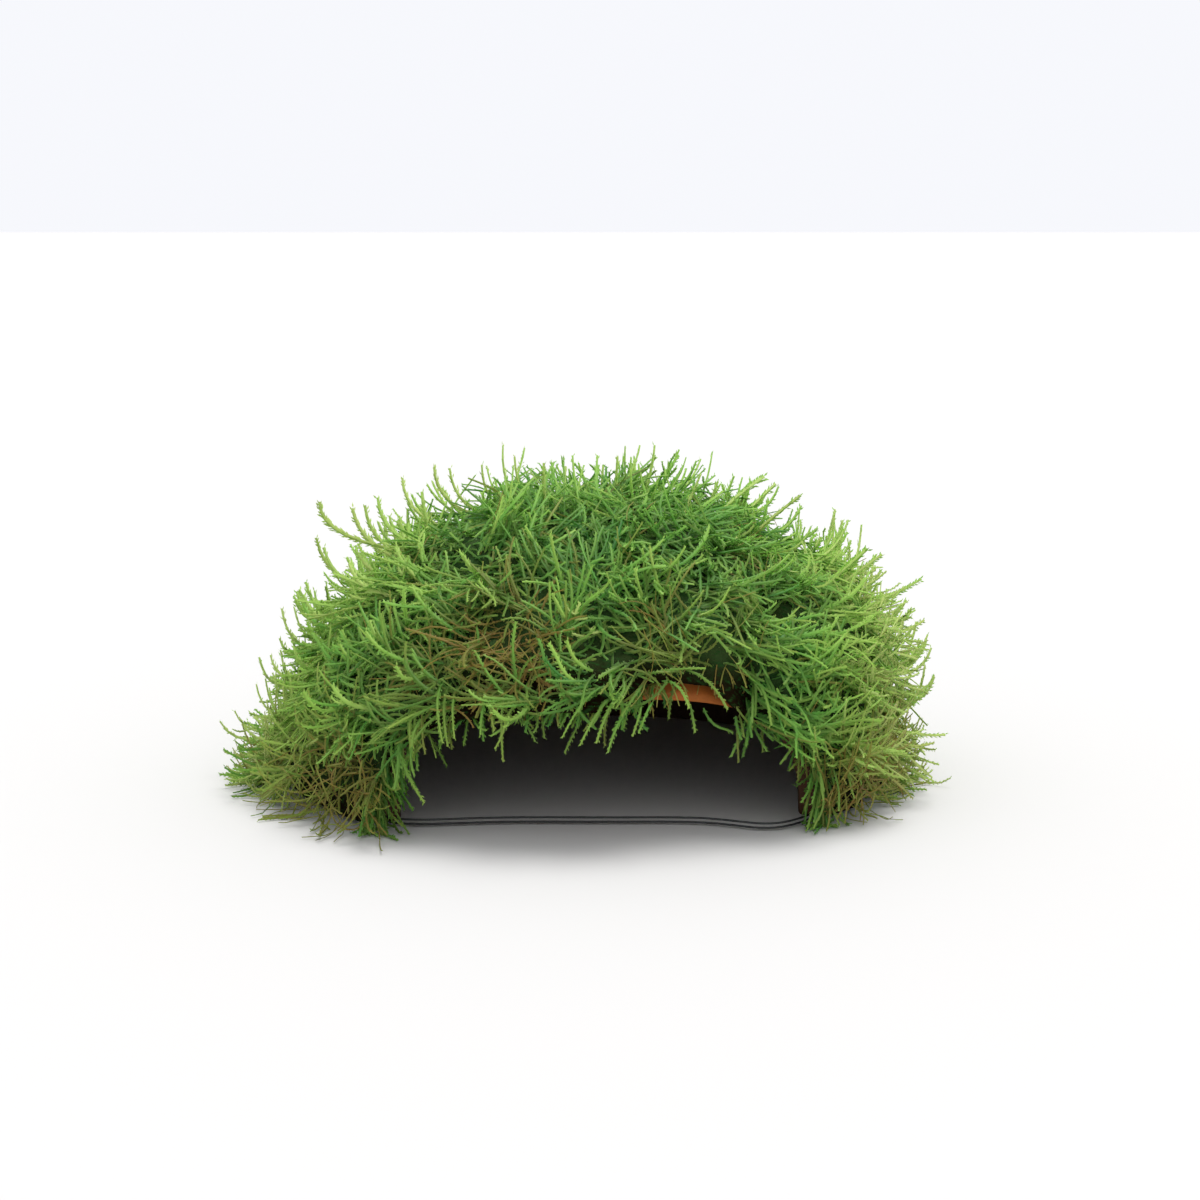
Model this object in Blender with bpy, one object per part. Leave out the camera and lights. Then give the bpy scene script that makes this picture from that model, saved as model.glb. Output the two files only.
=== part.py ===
"""Java moss grown over half a coconut shell with a low doorway, bound on with dark thread.

Metres, +Z up. The doorway faces -Y. The origin is on the ground, under the middle of the object.
"""

import math
import random

import bmesh
import bpy
from mathutils import Vector, noise

MM = 0.001
FULL_TURN = math.tau

# Coconut shell: half a nut, resting on its sawn rim
SHELL_HALF_WIDTH = 59.0 * MM
SHELL_HALF_DEPTH = 57.0 * MM
SHELL_HEIGHT = 52.0 * MM
SHELL_WALL = 4.2 * MM
SHELL_FULLNESS = 2.3
RIDGE_COUNT = 3
RIDGE_SHARE = 0.012
RIDGE_TURN = math.radians(35)
SHELL_LEG_COLUMNS = 30
SHELL_DOOR_COLUMNS = 14
SHELL_ROWS = 9

# Doorway: a low arch sawn out of the front
DOOR_CENTRE = 2.0 * MM
DOOR_HALF_WIDTH = 44.0 * MM
DOOR_HEIGHT = 28.0 * MM
DOOR_FULLNESS = 2.6

# Moss mat: the matted stems that cover the shell, from its skin outwards
GAP = 0.8 * MM
MAT_HALF_WIDTH = 66.0 * MM
MAT_HALF_DEPTH = 64.0 * MM
MAT_HEIGHT = 60.5 * MM
MAT_FULLNESS = 2.8
MAT_LUMP = 2.6 * MM
MAT_LUMP_PITCH = 15.0 * MM
MAT_OVERHANG = 2.5 * MM
MAT_LEG_COLUMNS = 30
MAT_DOOR_COLUMNS = 14
MAT_ROWS = 9
MAT_INNER_ROWS = 9
FOOT_LIFT = 0.5 * MM
THREAD_ROOM = 3.2 * MM
LEFT_FOOT_FLARE = 4.0 * MM
LEFT_FOOT_FLARE_HEIGHT = 14.0 * MM
RIGHT_SHOULDER_FLARE = 4.0 * MM
RIGHT_SHOULDER_HEIGHT = 40.0 * MM
RIGHT_SHOULDER_SPREAD = 16.0 * MM

# Locks: the tufts of stem tips that stand out of the mat
LOCK_COUNT = 140
LOCK_CROWDING = 1.5
LOCK_LENGTH = (12.0 * MM, 18.0 * MM)
LOCK_RADIUS = (2.4 * MM, 3.6 * MM)
LOCK_ROOT_DEPTH = 1.2 * MM
LOCK_SIDES = 4
LOCK_STEPS = 3
LOCK_BLUNTNESS = 0.75
LOCK_DROOP = 1.2
LOCK_SWEEP = 1.1
LOCK_SPREAD = 0.6
FRINGE_COUNT = 16
FRINGE_LENGTH = (10.0 * MM, 17.0 * MM)
FRINGE_DROOP = 2.6
LOWEST_LOCK_ROOT = 5.5 * MM
LOWEST_TIP = 0.6 * MM
GOLDEN_ANGLE = math.pi * (3 - math.sqrt(5))

# Binding thread: two turns round the foot of the shell, tied at the back
THREAD_RADIUS = 0.22 * MM
THREAD_GAP = 0.4 * MM
THREAD_LOW = 0.7 * MM
THREAD_HIGH = 1.6 * MM
THREAD_SIDES = 5
THREAD_STEPS = 40
THREAD_SLACK = 2.5 * MM
THREAD_BOW = 5.5 * MM
THREAD_BOW_PLACE = 0.8
THREAD_BOW_SPREAD = 0.22
KNOT_ANGLE = math.radians(90)
KNOT_HALF_GAP = math.radians(1.2)
KNOT_RADIUS = 0.85 * MM

SEED = 15


def clear_scene():
    for obj in list(bpy.data.objects):
        bpy.data.objects.remove(obj)


def finish_material(name, colour, roughness):
    material = bpy.data.materials.new(name)
    material.use_nodes = True
    shader = material.node_tree.nodes["Principled BSDF"]
    shader.inputs["Base Color"].default_value = (*colour, 1.0)
    shader.inputs["Roughness"].default_value = roughness
    shader.inputs["Metallic"].default_value = 0.0
    return material


def new_object(name, points, faces, material=None):
    mesh = bpy.data.meshes.new(name)
    shape = bmesh.new()
    vertices = [shape.verts.new(point) for point in points]
    for face in faces:
        shape.faces.new([vertices[i] for i in face])
    bmesh.ops.recalc_face_normals(shape, faces=shape.faces)
    shape.to_mesh(mesh)
    shape.free()
    if material:
        mesh.materials.append(material)
    obj = bpy.data.objects.new(name, mesh)
    bpy.context.scene.collection.objects.link(obj)
    return obj


def join(obj, other):
    """Fuses other into obj. Where many locks cross, only the manifold solver leaves a closed body."""
    union = obj.modifiers.new("union", "BOOLEAN")
    union.operation = "UNION"
    union.object = other
    union.solver = "MANIFOLD"
    graph = bpy.context.evaluated_depsgraph_get()
    obj.data = bpy.data.meshes.new_from_object(obj.evaluated_get(graph))
    obj.modifiers.clear()
    bpy.data.objects.remove(other)


def between(span, share):
    return span[0] + (span[1] - span[0]) * share


class Dome:
    """A rounded half shape on an oval plan. Rise goes from 0 at the rim to a right angle at the crown."""

    def __init__(self, half_width, half_depth, height, fullness, swell=None):
        self.half_width = half_width
        self.half_depth = half_depth
        self.height = height
        self.fullness = fullness
        self.swell = swell

    def rise_at(self, height):
        share = min(max(height / self.height, 0.0), 1.0)
        return math.asin(share ** (self.fullness / 2))

    def reach_at(self, height):
        return math.cos(self.rise_at(height)) ** (2 / self.fullness)

    def point(self, azimuth, rise):
        reach = max(math.cos(rise), 0.0) ** (2 / self.fullness)
        place = Vector(
            (
                self.half_width * reach * math.cos(azimuth),
                self.half_depth * reach * math.sin(azimuth),
                self.height * math.sin(rise) ** (2 / self.fullness),
            )
        )
        return place + self.swell(place) if self.swell else place

    def outward(self, place):
        """The direction straight out of the dome at a place on it."""
        power = self.fullness - 1
        slope = Vector(
            (
                math.copysign(abs(place.x / self.half_width) ** power, place.x) / self.half_width,
                math.copysign(abs(place.y / self.half_depth) ** power, place.y) / self.half_depth,
                abs(place.z / self.height) ** power / self.height,
            )
        )
        return slope.normalized()


def ridges(place):
    """The long swellings of the nut under its husk."""
    azimuth = math.atan2(place.y, place.x)
    share = RIDGE_SHARE * math.cos(RIDGE_COUNT * (azimuth - RIDGE_TURN))
    return Vector((place.x, place.y, 0.0)) * share


def mat_lumps(place):
    """Uneven thickness of the mat: small lumps, a wide left foot and a full right shoulder."""
    side = Vector((place.x, place.y, 0.0))
    out = (side / MAT_HALF_WIDTH + Vector((0.0, 0.0, place.z / MAT_HEIGHT))).normalized()
    lump = MAT_LUMP * noise.noise(place / MAT_LUMP_PITCH)
    leftness = max(-place.x / MAT_HALF_WIDTH, 0.0) ** 2
    rightness = max(place.x / MAT_HALF_WIDTH, 0.0) ** 2
    foot = LEFT_FOOT_FLARE * math.exp(-((place.z / LEFT_FOOT_FLARE_HEIGHT) ** 2))
    above_shoulder = (place.z - RIGHT_SHOULDER_HEIGHT) / RIGHT_SHOULDER_SPREAD
    shoulder = RIGHT_SHOULDER_FLARE * math.exp(-(above_shoulder**2))
    flare = side.normalized() * (leftness * foot + rightness * shoulder)
    level = min(place.z / THREAD_ROOM, 1.0)
    return Vector((out.x, out.y, out.z * level)) * lump + flare


SHELL_OUTSIDE = Dome(SHELL_HALF_WIDTH, SHELL_HALF_DEPTH, SHELL_HEIGHT, SHELL_FULLNESS, ridges)
SHELL_INSIDE = Dome(
    SHELL_HALF_WIDTH - SHELL_WALL,
    SHELL_HALF_DEPTH - SHELL_WALL,
    SHELL_HEIGHT - SHELL_WALL,
    SHELL_FULLNESS,
    ridges,
)
MAT_OUTSIDE = Dome(MAT_HALF_WIDTH, MAT_HALF_DEPTH, MAT_HEIGHT, MAT_FULLNESS, mat_lumps)
MAT_INSIDE = Dome(
    SHELL_HALF_WIDTH + GAP, SHELL_HALF_DEPTH + GAP, SHELL_HEIGHT + GAP, SHELL_FULLNESS, ridges
)


def door_columns(dome, count):
    """(azimuth, height of the arch) across the doorway, from its right jamb to its left one."""
    columns = []
    for step in range(1, count):
        turn = math.pi * step / count
        across = math.copysign(abs(math.cos(turn)) ** (2 / DOOR_FULLNESS), math.cos(turn))
        height = DOOR_HEIGHT * math.sin(turn) ** (2 / DOOR_FULLNESS)
        x = DOOR_CENTRE + DOOR_HALF_WIDTH * across
        azimuth = -math.acos(x / (dome.half_width * dome.reach_at(height)))
        columns.append((azimuth, height))
    return columns


def leg_columns(dome, count):
    """(azimuth, 0) round the back, from the left jamb to the right one."""
    right = -math.acos((DOOR_CENTRE + DOOR_HALF_WIDTH) / dome.half_width)
    left = -math.acos((DOOR_CENTRE - DOOR_HALF_WIDTH) / dome.half_width) + FULL_TURN
    return [(left + (right - left) * step / count, 0.0) for step in range(count + 1)]


def hollow_dome(name, outside, inside, columns, rows, inner_rows, material):
    """A closed dome wall. columns holds (azimuth, lowest height outside, lowest height inside)."""
    points = []
    faces = []
    rings = []
    for dome, count, which in ((outside, rows, 1), (inside, inner_rows, 2)):
        rings.append([])
        for row in range(count):
            ring = []
            for column in columns:
                low = dome.rise_at(column[which])
                rise = low + (math.pi / 2 - low) * row / count
                place = dome.point(column[0], rise)
                if row == 0:
                    place.z = column[which]
                ring.append(len(points))
                points.append(place)
            rings[-1].append(ring)
        rings[-1].append([len(points)] * len(columns))
        points.append(dome.point(0.0, math.pi / 2))
    strips = [[rings[0][0], rings[1][0]]]
    for skin in rings:
        strips += [[skin[row], skin[row + 1]] for row in range(len(skin) - 1)]
    for lower, upper in strips:
        for i in range(len(columns)):
            j = (i + 1) % len(columns)
            corners = [lower[i], lower[j], upper[j], upper[i]]
            faces.append(list(dict.fromkeys(corners)))
    obj = new_object(name, points, faces, material)
    obj.data.shade_smooth()
    obj.data.set_sharp_from_angle(angle=math.radians(40))
    return obj


def coconut_shell():
    columns = leg_columns(SHELL_OUTSIDE, SHELL_LEG_COLUMNS)
    columns += door_columns(SHELL_OUTSIDE, SHELL_DOOR_COLUMNS)
    both = [(azimuth, height, height) for azimuth, height in columns]
    husk = finish_material("coconut_shell", (0.16, 0.075, 0.035), 0.6)
    return hollow_dome(
        "coconut_shell", SHELL_OUTSIDE, SHELL_INSIDE, both, SHELL_ROWS, SHELL_ROWS, husk
    )


def moss_columns():
    """The mat hangs a little below the arch outside, and leaves room for the thread at its foot."""
    columns = []
    for azimuth, height in leg_columns(MAT_INSIDE, MAT_LEG_COLUMNS):
        columns.append((azimuth, FOOT_LIFT, THREAD_ROOM))
    for azimuth, height in door_columns(MAT_INSIDE, MAT_DOOR_COLUMNS):
        outer = max(height - MAT_OVERHANG, FOOT_LIFT)
        columns.append((azimuth, outer, max(height, THREAD_ROOM)))
    return columns


def doorway_height(azimuth):
    """Height of the arch above the ground at an azimuth, or 0 beside the doorway."""
    x = MAT_HALF_WIDTH * math.cos(azimuth)
    across = abs(x - DOOR_CENTRE) / (DOOR_HALF_WIDTH + LOCK_RADIUS[1])
    if math.sin(azimuth) > 0 or across >= 1:
        return 0.0
    return DOOR_HEIGHT * (1 - across**DOOR_FULLNESS) ** (1 / DOOR_FULLNESS)


def lock_places(chance):
    """(azimuth, height, length, droop) of each lock: all over the mat, and in a fringe on the arch."""
    places = []
    for i in range(LOCK_COUNT):
        azimuth = (i * GOLDEN_ANGLE) % FULL_TURN
        height = MAT_HEIGHT * (1 - (1 - (i + 0.5) / LOCK_COUNT) ** LOCK_CROWDING)
        height = max(height, LOWEST_LOCK_ROOT)
        droop = LOCK_DROOP * (1 - (height / MAT_HEIGHT) ** 2)
        if height > doorway_height(azimuth) + LOCK_RADIUS[1]:
            places.append((azimuth, height, between(LOCK_LENGTH, chance.random()), droop))
    for i in range(FRINGE_COUNT):
        across = -1 + 2 * (i + 0.5) / FRINGE_COUNT
        x = DOOR_CENTRE + DOOR_HALF_WIDTH * across
        azimuth = -math.acos(x / MAT_HALF_WIDTH)
        height = doorway_height(azimuth) + LOCK_RADIUS[0]
        places.append((azimuth, height, between(FRINGE_LENGTH, chance.random()), FRINGE_DROOP))
    return places


def lock_spine(base, out, length, droop, radius, chance):
    """The middle line of a lock: out of the mat, swept to one side, and drooping to its tip."""
    aside = out.cross(Vector((0, 0, 1)))
    aside = aside.normalized() if aside.length > 0.1 else Vector((1, 0, 0))
    sweep = aside * chance.uniform(-LOCK_SWEEP, LOCK_SWEEP)
    sweep.x += LOCK_SPREAD * base.x / MAT_HALF_WIDTH
    heading = (out + sweep).normalized()
    points = [base - out * LOCK_ROOT_DEPTH]
    step = length / LOCK_STEPS
    for i in range(LOCK_STEPS):
        heading = (heading - Vector((0, 0, droop / LOCK_STEPS))).normalized()
        place = points[-1] + heading * step
        place.z = max(place.z, LOWEST_TIP + radius * lock_taper(i + 1))
        points.append(place)
    return points


def lock_taper(step):
    return (1 - step / LOCK_STEPS) ** LOCK_BLUNTNESS


def lock(out, spine, radius):
    """A tapering lock, square on the mat at its root and pointed at its tip."""
    points = []
    faces = []
    rings = []
    for i, place in enumerate(spine[:-1]):
        heading = (spine[i + 1] - spine[i - 1]).normalized() if i > 0 else out
        side = heading.cross(Vector((0.3, 0.2, 1))).normalized()
        lift = side.cross(heading)
        reach = radius * lock_taper(i)
        ring = []
        for corner in range(LOCK_SIDES):
            turn = FULL_TURN * corner / LOCK_SIDES
            ring.append(len(points))
            points.append(place + (side * math.cos(turn) + lift * math.sin(turn)) * reach)
        rings.append(ring)
    tip = len(points)
    points.append(spine[-1])
    faces.append(rings[0][::-1])
    for lower, upper in zip(rings, rings[1:]):
        for i in range(LOCK_SIDES):
            j = (i + 1) % LOCK_SIDES
            faces.append([lower[i], lower[j], upper[j], upper[i]])
    for i in range(LOCK_SIDES):
        faces.append([rings[-1][i], rings[-1][(i + 1) % LOCK_SIDES], tip])
    return new_object("lock", points, faces)


def moss_mat():
    moss = finish_material("java_moss", (0.10, 0.26, 0.03), 0.75)
    mat = hollow_dome(
        "java_moss", MAT_OUTSIDE, MAT_INSIDE, moss_columns(), MAT_ROWS, MAT_INNER_ROWS, moss
    )
    chance = random.Random(SEED)
    for azimuth, height, length, droop in lock_places(chance):
        radius = between(LOCK_RADIUS, chance.random())
        base = MAT_OUTSIDE.point(azimuth, MAT_OUTSIDE.rise_at(height))
        out = MAT_OUTSIDE.outward(base)
        spine = lock_spine(base, out, length, droop, radius, chance)
        join(mat, lock(out, spine, radius))
    return mat


def thread_place(azimuth, height):
    """Round the shell's foot, and slack across the doorway, bowed forward beside its right jamb."""
    hug = THREAD_GAP + THREAD_RADIUS
    round_shell = Dome(
        SHELL_HALF_WIDTH + hug, SHELL_HALF_DEPTH + hug, SHELL_HEIGHT, SHELL_FULLNESS, ridges
    )
    place = round_shell.point(azimuth, 0.0)
    place.z = height
    jamb_reach = DOOR_HALF_WIDTH / SHELL_HALF_WIDTH
    across = (math.cos(azimuth) - DOOR_CENTRE / SHELL_HALF_WIDTH) / jamb_reach
    if math.sin(azimuth) < 0 and abs(across) < 1:
        jamb_y = -SHELL_HALF_DEPTH * math.sqrt(1 - jamb_reach**2) - hug
        bow = THREAD_BOW * math.exp(-(((across - THREAD_BOW_PLACE) / THREAD_BOW_SPREAD) ** 2))
        slack = THREAD_SLACK * (1 - across**2)
        place.y += (jamb_y - bow - slack - place.y) * (1 - across**4)
    return place


def tube(name, centre, radius, sides, material):
    """A round tube along an open line of points, closed by a flat cap at each end."""
    points = []
    faces = []
    rings = []
    for i, place in enumerate(centre):
        ahead = (centre[min(i + 1, len(centre) - 1)] - centre[max(i - 1, 0)]).normalized()
        side = ahead.cross(Vector((0, 0, 1))).normalized()
        lift = side.cross(ahead)
        ring = []
        for corner in range(sides):
            turn = FULL_TURN * corner / sides
            ring.append(len(points))
            points.append(place + (side * math.cos(turn) + lift * math.sin(turn)) * radius)
        rings.append(ring)
    faces.append(rings[0][::-1])
    faces.append(rings[-1])
    for lower, upper in zip(rings, rings[1:]):
        for i in range(sides):
            j = (i + 1) % sides
            faces.append([lower[i], lower[j], upper[j], upper[i]])
    return new_object(name, points, faces, material)


def binding_thread():
    nylon = finish_material("binding_thread", (0.012, 0.013, 0.014), 0.35)
    start = KNOT_ANGLE + KNOT_HALF_GAP
    end = KNOT_ANGLE + 2 * FULL_TURN - KNOT_HALF_GAP
    centre = []
    count = 2 * THREAD_STEPS
    for i in range(count + 1):
        share = i / count
        rise = min(max((share - 0.5) * 8 + 0.5, 0.0), 1.0)
        rise = rise * rise * (3 - 2 * rise)
        height = THREAD_LOW + (THREAD_HIGH - THREAD_LOW) * rise
        centre.append(thread_place(start + (end - start) * share, height))
    thread = tube("binding_thread", centre, THREAD_RADIUS, THREAD_SIDES, nylon)
    knot_mesh = bpy.data.meshes.new("knot")
    shape = bmesh.new()
    bmesh.ops.create_icosphere(shape, subdivisions=1, radius=KNOT_RADIUS)
    shape.to_mesh(knot_mesh)
    shape.free()
    knot = bpy.data.objects.new("knot", knot_mesh)
    bpy.context.scene.collection.objects.link(knot)
    ends = (centre[0] + centre[-1]) / 2
    away = Vector((0.0, KNOT_RADIUS - THREAD_RADIUS, 0.0))
    knot.location = ends + away
    join(thread, knot)
    return thread


def centre_on_ground(pieces):
    """Moves everything so that the origin is on the ground, under the middle of the whole box."""
    places = [vertex.co for piece in pieces for vertex in piece.data.vertices]
    lowest = [min(place[axis] for place in places) for axis in range(3)]
    highest = [max(place[axis] for place in places) for axis in range(3)]
    middle = [(low + high) / 2 for low, high in zip(lowest, highest)]
    for piece in pieces:
        piece.location = (-middle[0], -middle[1], -lowest[2])


def main():
    clear_scene()
    centre_on_ground([coconut_shell(), moss_mat(), binding_thread()])


main()
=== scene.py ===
"""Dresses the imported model: java moss grown over half a coconut shell, bound on with dark thread.

Metres, +Z up. The doorway faces -Y, and the ground is at z = 0.
"""

import math

import bpy
import numpy as np
from bpy.props import FloatProperty, FloatVectorProperty, IntProperty, PointerProperty
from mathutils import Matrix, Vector


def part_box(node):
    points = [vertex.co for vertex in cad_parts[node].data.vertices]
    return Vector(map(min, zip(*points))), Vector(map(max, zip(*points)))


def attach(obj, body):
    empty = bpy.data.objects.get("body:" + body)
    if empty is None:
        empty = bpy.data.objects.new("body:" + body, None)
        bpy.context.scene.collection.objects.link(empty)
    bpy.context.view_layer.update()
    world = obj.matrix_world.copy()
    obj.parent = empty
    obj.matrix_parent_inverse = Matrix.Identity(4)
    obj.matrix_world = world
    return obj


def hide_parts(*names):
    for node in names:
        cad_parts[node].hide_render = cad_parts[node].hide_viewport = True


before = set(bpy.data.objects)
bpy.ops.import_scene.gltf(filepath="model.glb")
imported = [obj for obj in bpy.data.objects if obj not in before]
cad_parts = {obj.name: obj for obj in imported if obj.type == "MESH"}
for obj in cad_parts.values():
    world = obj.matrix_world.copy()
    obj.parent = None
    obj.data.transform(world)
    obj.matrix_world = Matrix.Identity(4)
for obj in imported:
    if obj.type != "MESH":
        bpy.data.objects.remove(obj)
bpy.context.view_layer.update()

bl_info = {
    "name": "Java Moss on Coconut",
    "version": (1, 0, 0),
    "blender": (4, 5, 0),
    "location": "View3D > Sidebar > Java Moss",
    "description": "Grows java moss over half a coconut shell and sets it on a pale studio floor",
    "category": "Object",
}

MM = 0.001
FULL_TURN = math.tau
UP = np.array([0.0, 0.0, 1.0])
BODY = "root"

# Most triangles that one piece may have
PIECE_LIMIT = 200000

# The solids, which the dressed pieces follow
SHELL_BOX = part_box("coconut_shell")
SHELL_HALF_WIDTH = 59.0 * MM
SHELL_HALF_DEPTH = 57.0 * MM
SHELL_FULLNESS = 2.3
RIDGE_COUNT = 3
RIDGE_SHARE = 0.012
RIDGE_TURN = math.radians(35)
DOOR_CENTRE = 2.0 * MM
DOOR_HALF_WIDTH = 44.0 * MM
DOOR_HEIGHT = 28.0 * MM
DOOR_FULLNESS = 2.6

# Bare stretch: where the moss leaves the shell's face open, right of the doorway's middle
BARE_CENTRE = (18.3 * MM, 29.7 * MM)
BARE_HALF_SIZE = (11.8 * MM, 3.0 * MM)


def unit(vectors):
    return vectors / np.maximum(np.linalg.norm(vectors, axis=-1, keepdims=True), 1e-9)


def smooth(share):
    share = np.clip(share, 0, 1)
    return share * share * (3 - 2 * share)


def near(distance, reach=1.0):
    """1 at no distance, and soon nothing past the reach."""
    return np.exp(-((distance / reach) ** 2))


def uneven(places, pitch, seed, waves=7):
    """A smooth uneven field, mostly from -1 to 1, made of waves about one pitch long."""
    chance = np.random.default_rng(seed)
    directions = unit(chance.normal(size=(waves, 3)))
    lengths = pitch * chance.uniform(0.75, 1.5, waves)
    starts = chance.uniform(0, FULL_TURN, waves)
    turns = places @ (directions / lengths[:, None]).T * FULL_TURN + starts
    return np.sin(turns).sum(axis=-1) / math.sqrt(waves)


def shell_ridges(azimuth):
    """The long swellings of the nut, as a share of its radius."""
    return 1 + RIDGE_SHARE * np.cos(RIDGE_COUNT * (azimuth - RIDGE_TURN))


def shell_centre():
    """Where the nut's own axis stands: its box is off centre by its ridges."""
    azimuths = np.linspace(0, FULL_TURN, 721)
    x = SHELL_HALF_WIDTH * shell_ridges(azimuths) * np.cos(azimuths)
    y = SHELL_HALF_DEPTH * shell_ridges(azimuths) * np.sin(azimuths)
    middle_x = (SHELL_BOX[0].x + SHELL_BOX[1].x - x.min() - x.max()) / 2
    return np.array([middle_x, SHELL_BOX[1].y - y.max(), 0.0])


CENTRE = shell_centre()


class Dome:
    """A rounded half shape on an oval plan, round the nut's axis. It works on arrays of places."""

    def __init__(self, half_sizes, fullness):
        self.half_sizes = np.array(half_sizes)
        self.fullness = fullness

    def grown(self, more):
        return Dome(self.half_sizes + more, self.fullness)

    def rise_at(self, height):
        share = np.clip(height / self.half_sizes[2], 0, 1)
        return np.arcsin(share ** (self.fullness / 2))

    def reach_at(self, height):
        return np.cos(self.rise_at(height)) ** (2 / self.fullness)

    def place(self, azimuth, rise):
        """Places measured from the nut's axis. Rise is 0 at the rim and a right angle at the crown."""
        reach = np.maximum(np.cos(rise), 0) ** (2 / self.fullness) * shell_ridges(azimuth)
        x = self.half_sizes[0] * reach * np.cos(azimuth)
        y = self.half_sizes[1] * reach * np.sin(azimuth)
        z = self.half_sizes[2] * np.sin(rise) ** (2 / self.fullness)
        return np.stack(np.broadcast_arrays(x, y, z), axis=-1)

    def outward(self, places):
        """The way out of the dome at each place, where what hangs under the ground counts as on it."""
        shares = np.maximum(places, [-1, -1, 0]) / self.half_sizes
        return unit(np.sign(shares) * np.abs(shares) ** (self.fullness - 1) / self.half_sizes)

    def depth(self, places):
        """1 on the dome, less inside it and more outside, in step with the distance from its middle."""
        shares = np.abs(places / self.half_sizes)
        return (shares**self.fullness).sum(axis=-1) ** (1 / self.fullness)


# The bed is the dark layer of old stems over the shell, which the fronds grow from
SHELL = Dome([SHELL_HALF_WIDTH, SHELL_HALF_DEPTH, SHELL_BOX[1].z], SHELL_FULLNESS)
BED_THICKNESS = np.array([4.6, 4.6, 6.2]) * MM
BED_FULLNESS = 2.1
BED = Dome(SHELL.half_sizes + BED_THICKNESS, BED_FULLNESS)


def arch_height(x):
    """Height of the doorway over the ground at x from the nut's axis, or 0 beside the doorway."""
    across = np.clip(np.abs(x - DOOR_CENTRE) / DOOR_HALF_WIDTH, 0, 1)
    return DOOR_HEIGHT * (1 - across**DOOR_FULLNESS) ** (1 / DOOR_FULLNESS)


def arch_line(turn):
    """The doorway's edge at turns up to half a turn: x as a share of its half width, and height."""
    across = np.sign(np.cos(turn)) * np.abs(np.cos(turn)) ** (2 / DOOR_FULLNESS)
    return across, DOOR_HEIGHT * np.sin(turn) ** (2 / DOOR_FULLNESS)


def from_spot(places, middle, size):
    """How far places are from a spot's middle, (x, z), seen from the front, in steps of its half size."""
    return np.linalg.norm((places[..., [0, 2]] - middle) / size, axis=-1)


def bareness(places):
    """1 where the moss leaves the front of the shell open, falling to 0 round it."""
    away = from_spot(places, BARE_CENTRE, BARE_HALF_SIZE)
    return smooth((1.4 - away) / 0.8) * (places[..., 1] < 0)


def dome_columns(dome, leg_count, door_count):
    """Azimuth and lowest height of each column: round the back, then across the doorway."""
    right = -math.acos((DOOR_CENTRE + DOOR_HALF_WIDTH) / dome.half_sizes[0])
    left = -math.acos((DOOR_CENTRE - DOOR_HALF_WIDTH) / dome.half_sizes[0]) + FULL_TURN
    legs = np.linspace(left, right, leg_count + 1)
    across, height = arch_line(math.pi * np.arange(1, door_count) / door_count)
    x = DOOR_CENTRE + DOOR_HALF_WIDTH * across
    arch = -np.arccos(x / (dome.half_sizes[0] * dome.reach_at(height)))
    return np.concatenate([legs, arch]), np.concatenate([np.zeros(leg_count + 1), height])


def skin(dome, azimuths, lows, rows, first=0.0):
    """Rings of places from the lowest height of each column up to just under the crown."""
    low = dome.rise_at(lows + first)
    share = (np.arange(rows) / rows)[:, None]
    places = dome.place(azimuths[None, :], low[None, :] + (math.pi / 2 - low[None, :]) * share)
    places[0, :, 2] = lows + first
    return places


def ring_faces(starts, count):
    """Quads between rings of count places each, where each ring is given by its first place."""
    step = np.arange(count)
    after = (step + 1) % count
    rings = [
        np.stack([low + step, high + step, high + after, low + after], axis=1)
        for low, high in zip(starts, starts[1:])
    ]
    return np.concatenate(rings)


def closed_wall(rings, inside, outside):
    """Places and faces of a wall: its rings from the inner crown round the rim to the outer crown."""
    count = len(rings[0])
    crown = count * len(rings)
    starts = np.arange(0, crown, count)
    step = np.arange(count)
    after = (step + 1) % count
    faces = [
        ring_faces(starts, count),
        np.stack([step, after, np.full(count, crown)], axis=1),
        np.stack([starts[-1] + after, starts[-1] + step, np.full(count, crown + 1)], axis=1),
    ]
    crowns = [dome.place(0.0, math.pi / 2) for dome in (inside, outside)]
    return np.concatenate([*rings, crowns]), faces


def flat(numbers):
    return numbers.astype(np.float32).ravel()


def mesh_piece(name, places, faces, material, node, values=None, layout=None, normals=None):
    """Makes a piece of the dressed model from arrays, and hangs it on the frame.

    faces is a list of arrays with one row of corners each, values and normals hold numbers and
    directions for each place, and layout holds a flat place for each corner.
    """
    corners = np.concatenate([group.ravel() for group in faces]).astype(np.int32)
    sizes = np.concatenate([np.full(len(group), group.shape[1]) for group in faces])
    triangles = (sizes - 2).sum()
    if triangles >= PIECE_LIMIT:
        raise RuntimeError(f"{name} has {triangles} triangles, over the limit of {PIECE_LIMIT}")
    mesh = bpy.data.meshes.new(name)
    mesh.vertices.add(len(places))
    mesh.vertices.foreach_set("co", flat(places + CENTRE))
    mesh.loops.add(len(corners))
    mesh.loops.foreach_set("vertex_index", corners)
    mesh.polygons.add(len(sizes))
    mesh.polygons.foreach_set("loop_start", (np.cumsum(sizes) - sizes).astype(np.int32))
    mesh.update(calc_edges=True)
    for key, numbers in (values or {}).items():
        mesh.attributes.new(key, "FLOAT", "POINT").data.foreach_set("value", flat(numbers))
    if layout is not None:
        mesh.uv_layers.new(name="OFBake").uv.foreach_set("vector", flat(layout))
    mesh.shade_smooth()
    if normals is not None:
        layer = mesh.attributes.new("custom_normal", "FLOAT_VECTOR", "POINT")
        layer.data.foreach_set("vector", flat(normals))
    mesh.materials.append(material)
    piece = bpy.data.objects.new(name, mesh)
    bpy.context.scene.collection.objects.link(piece)
    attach(piece, BODY)
    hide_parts(node)


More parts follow.
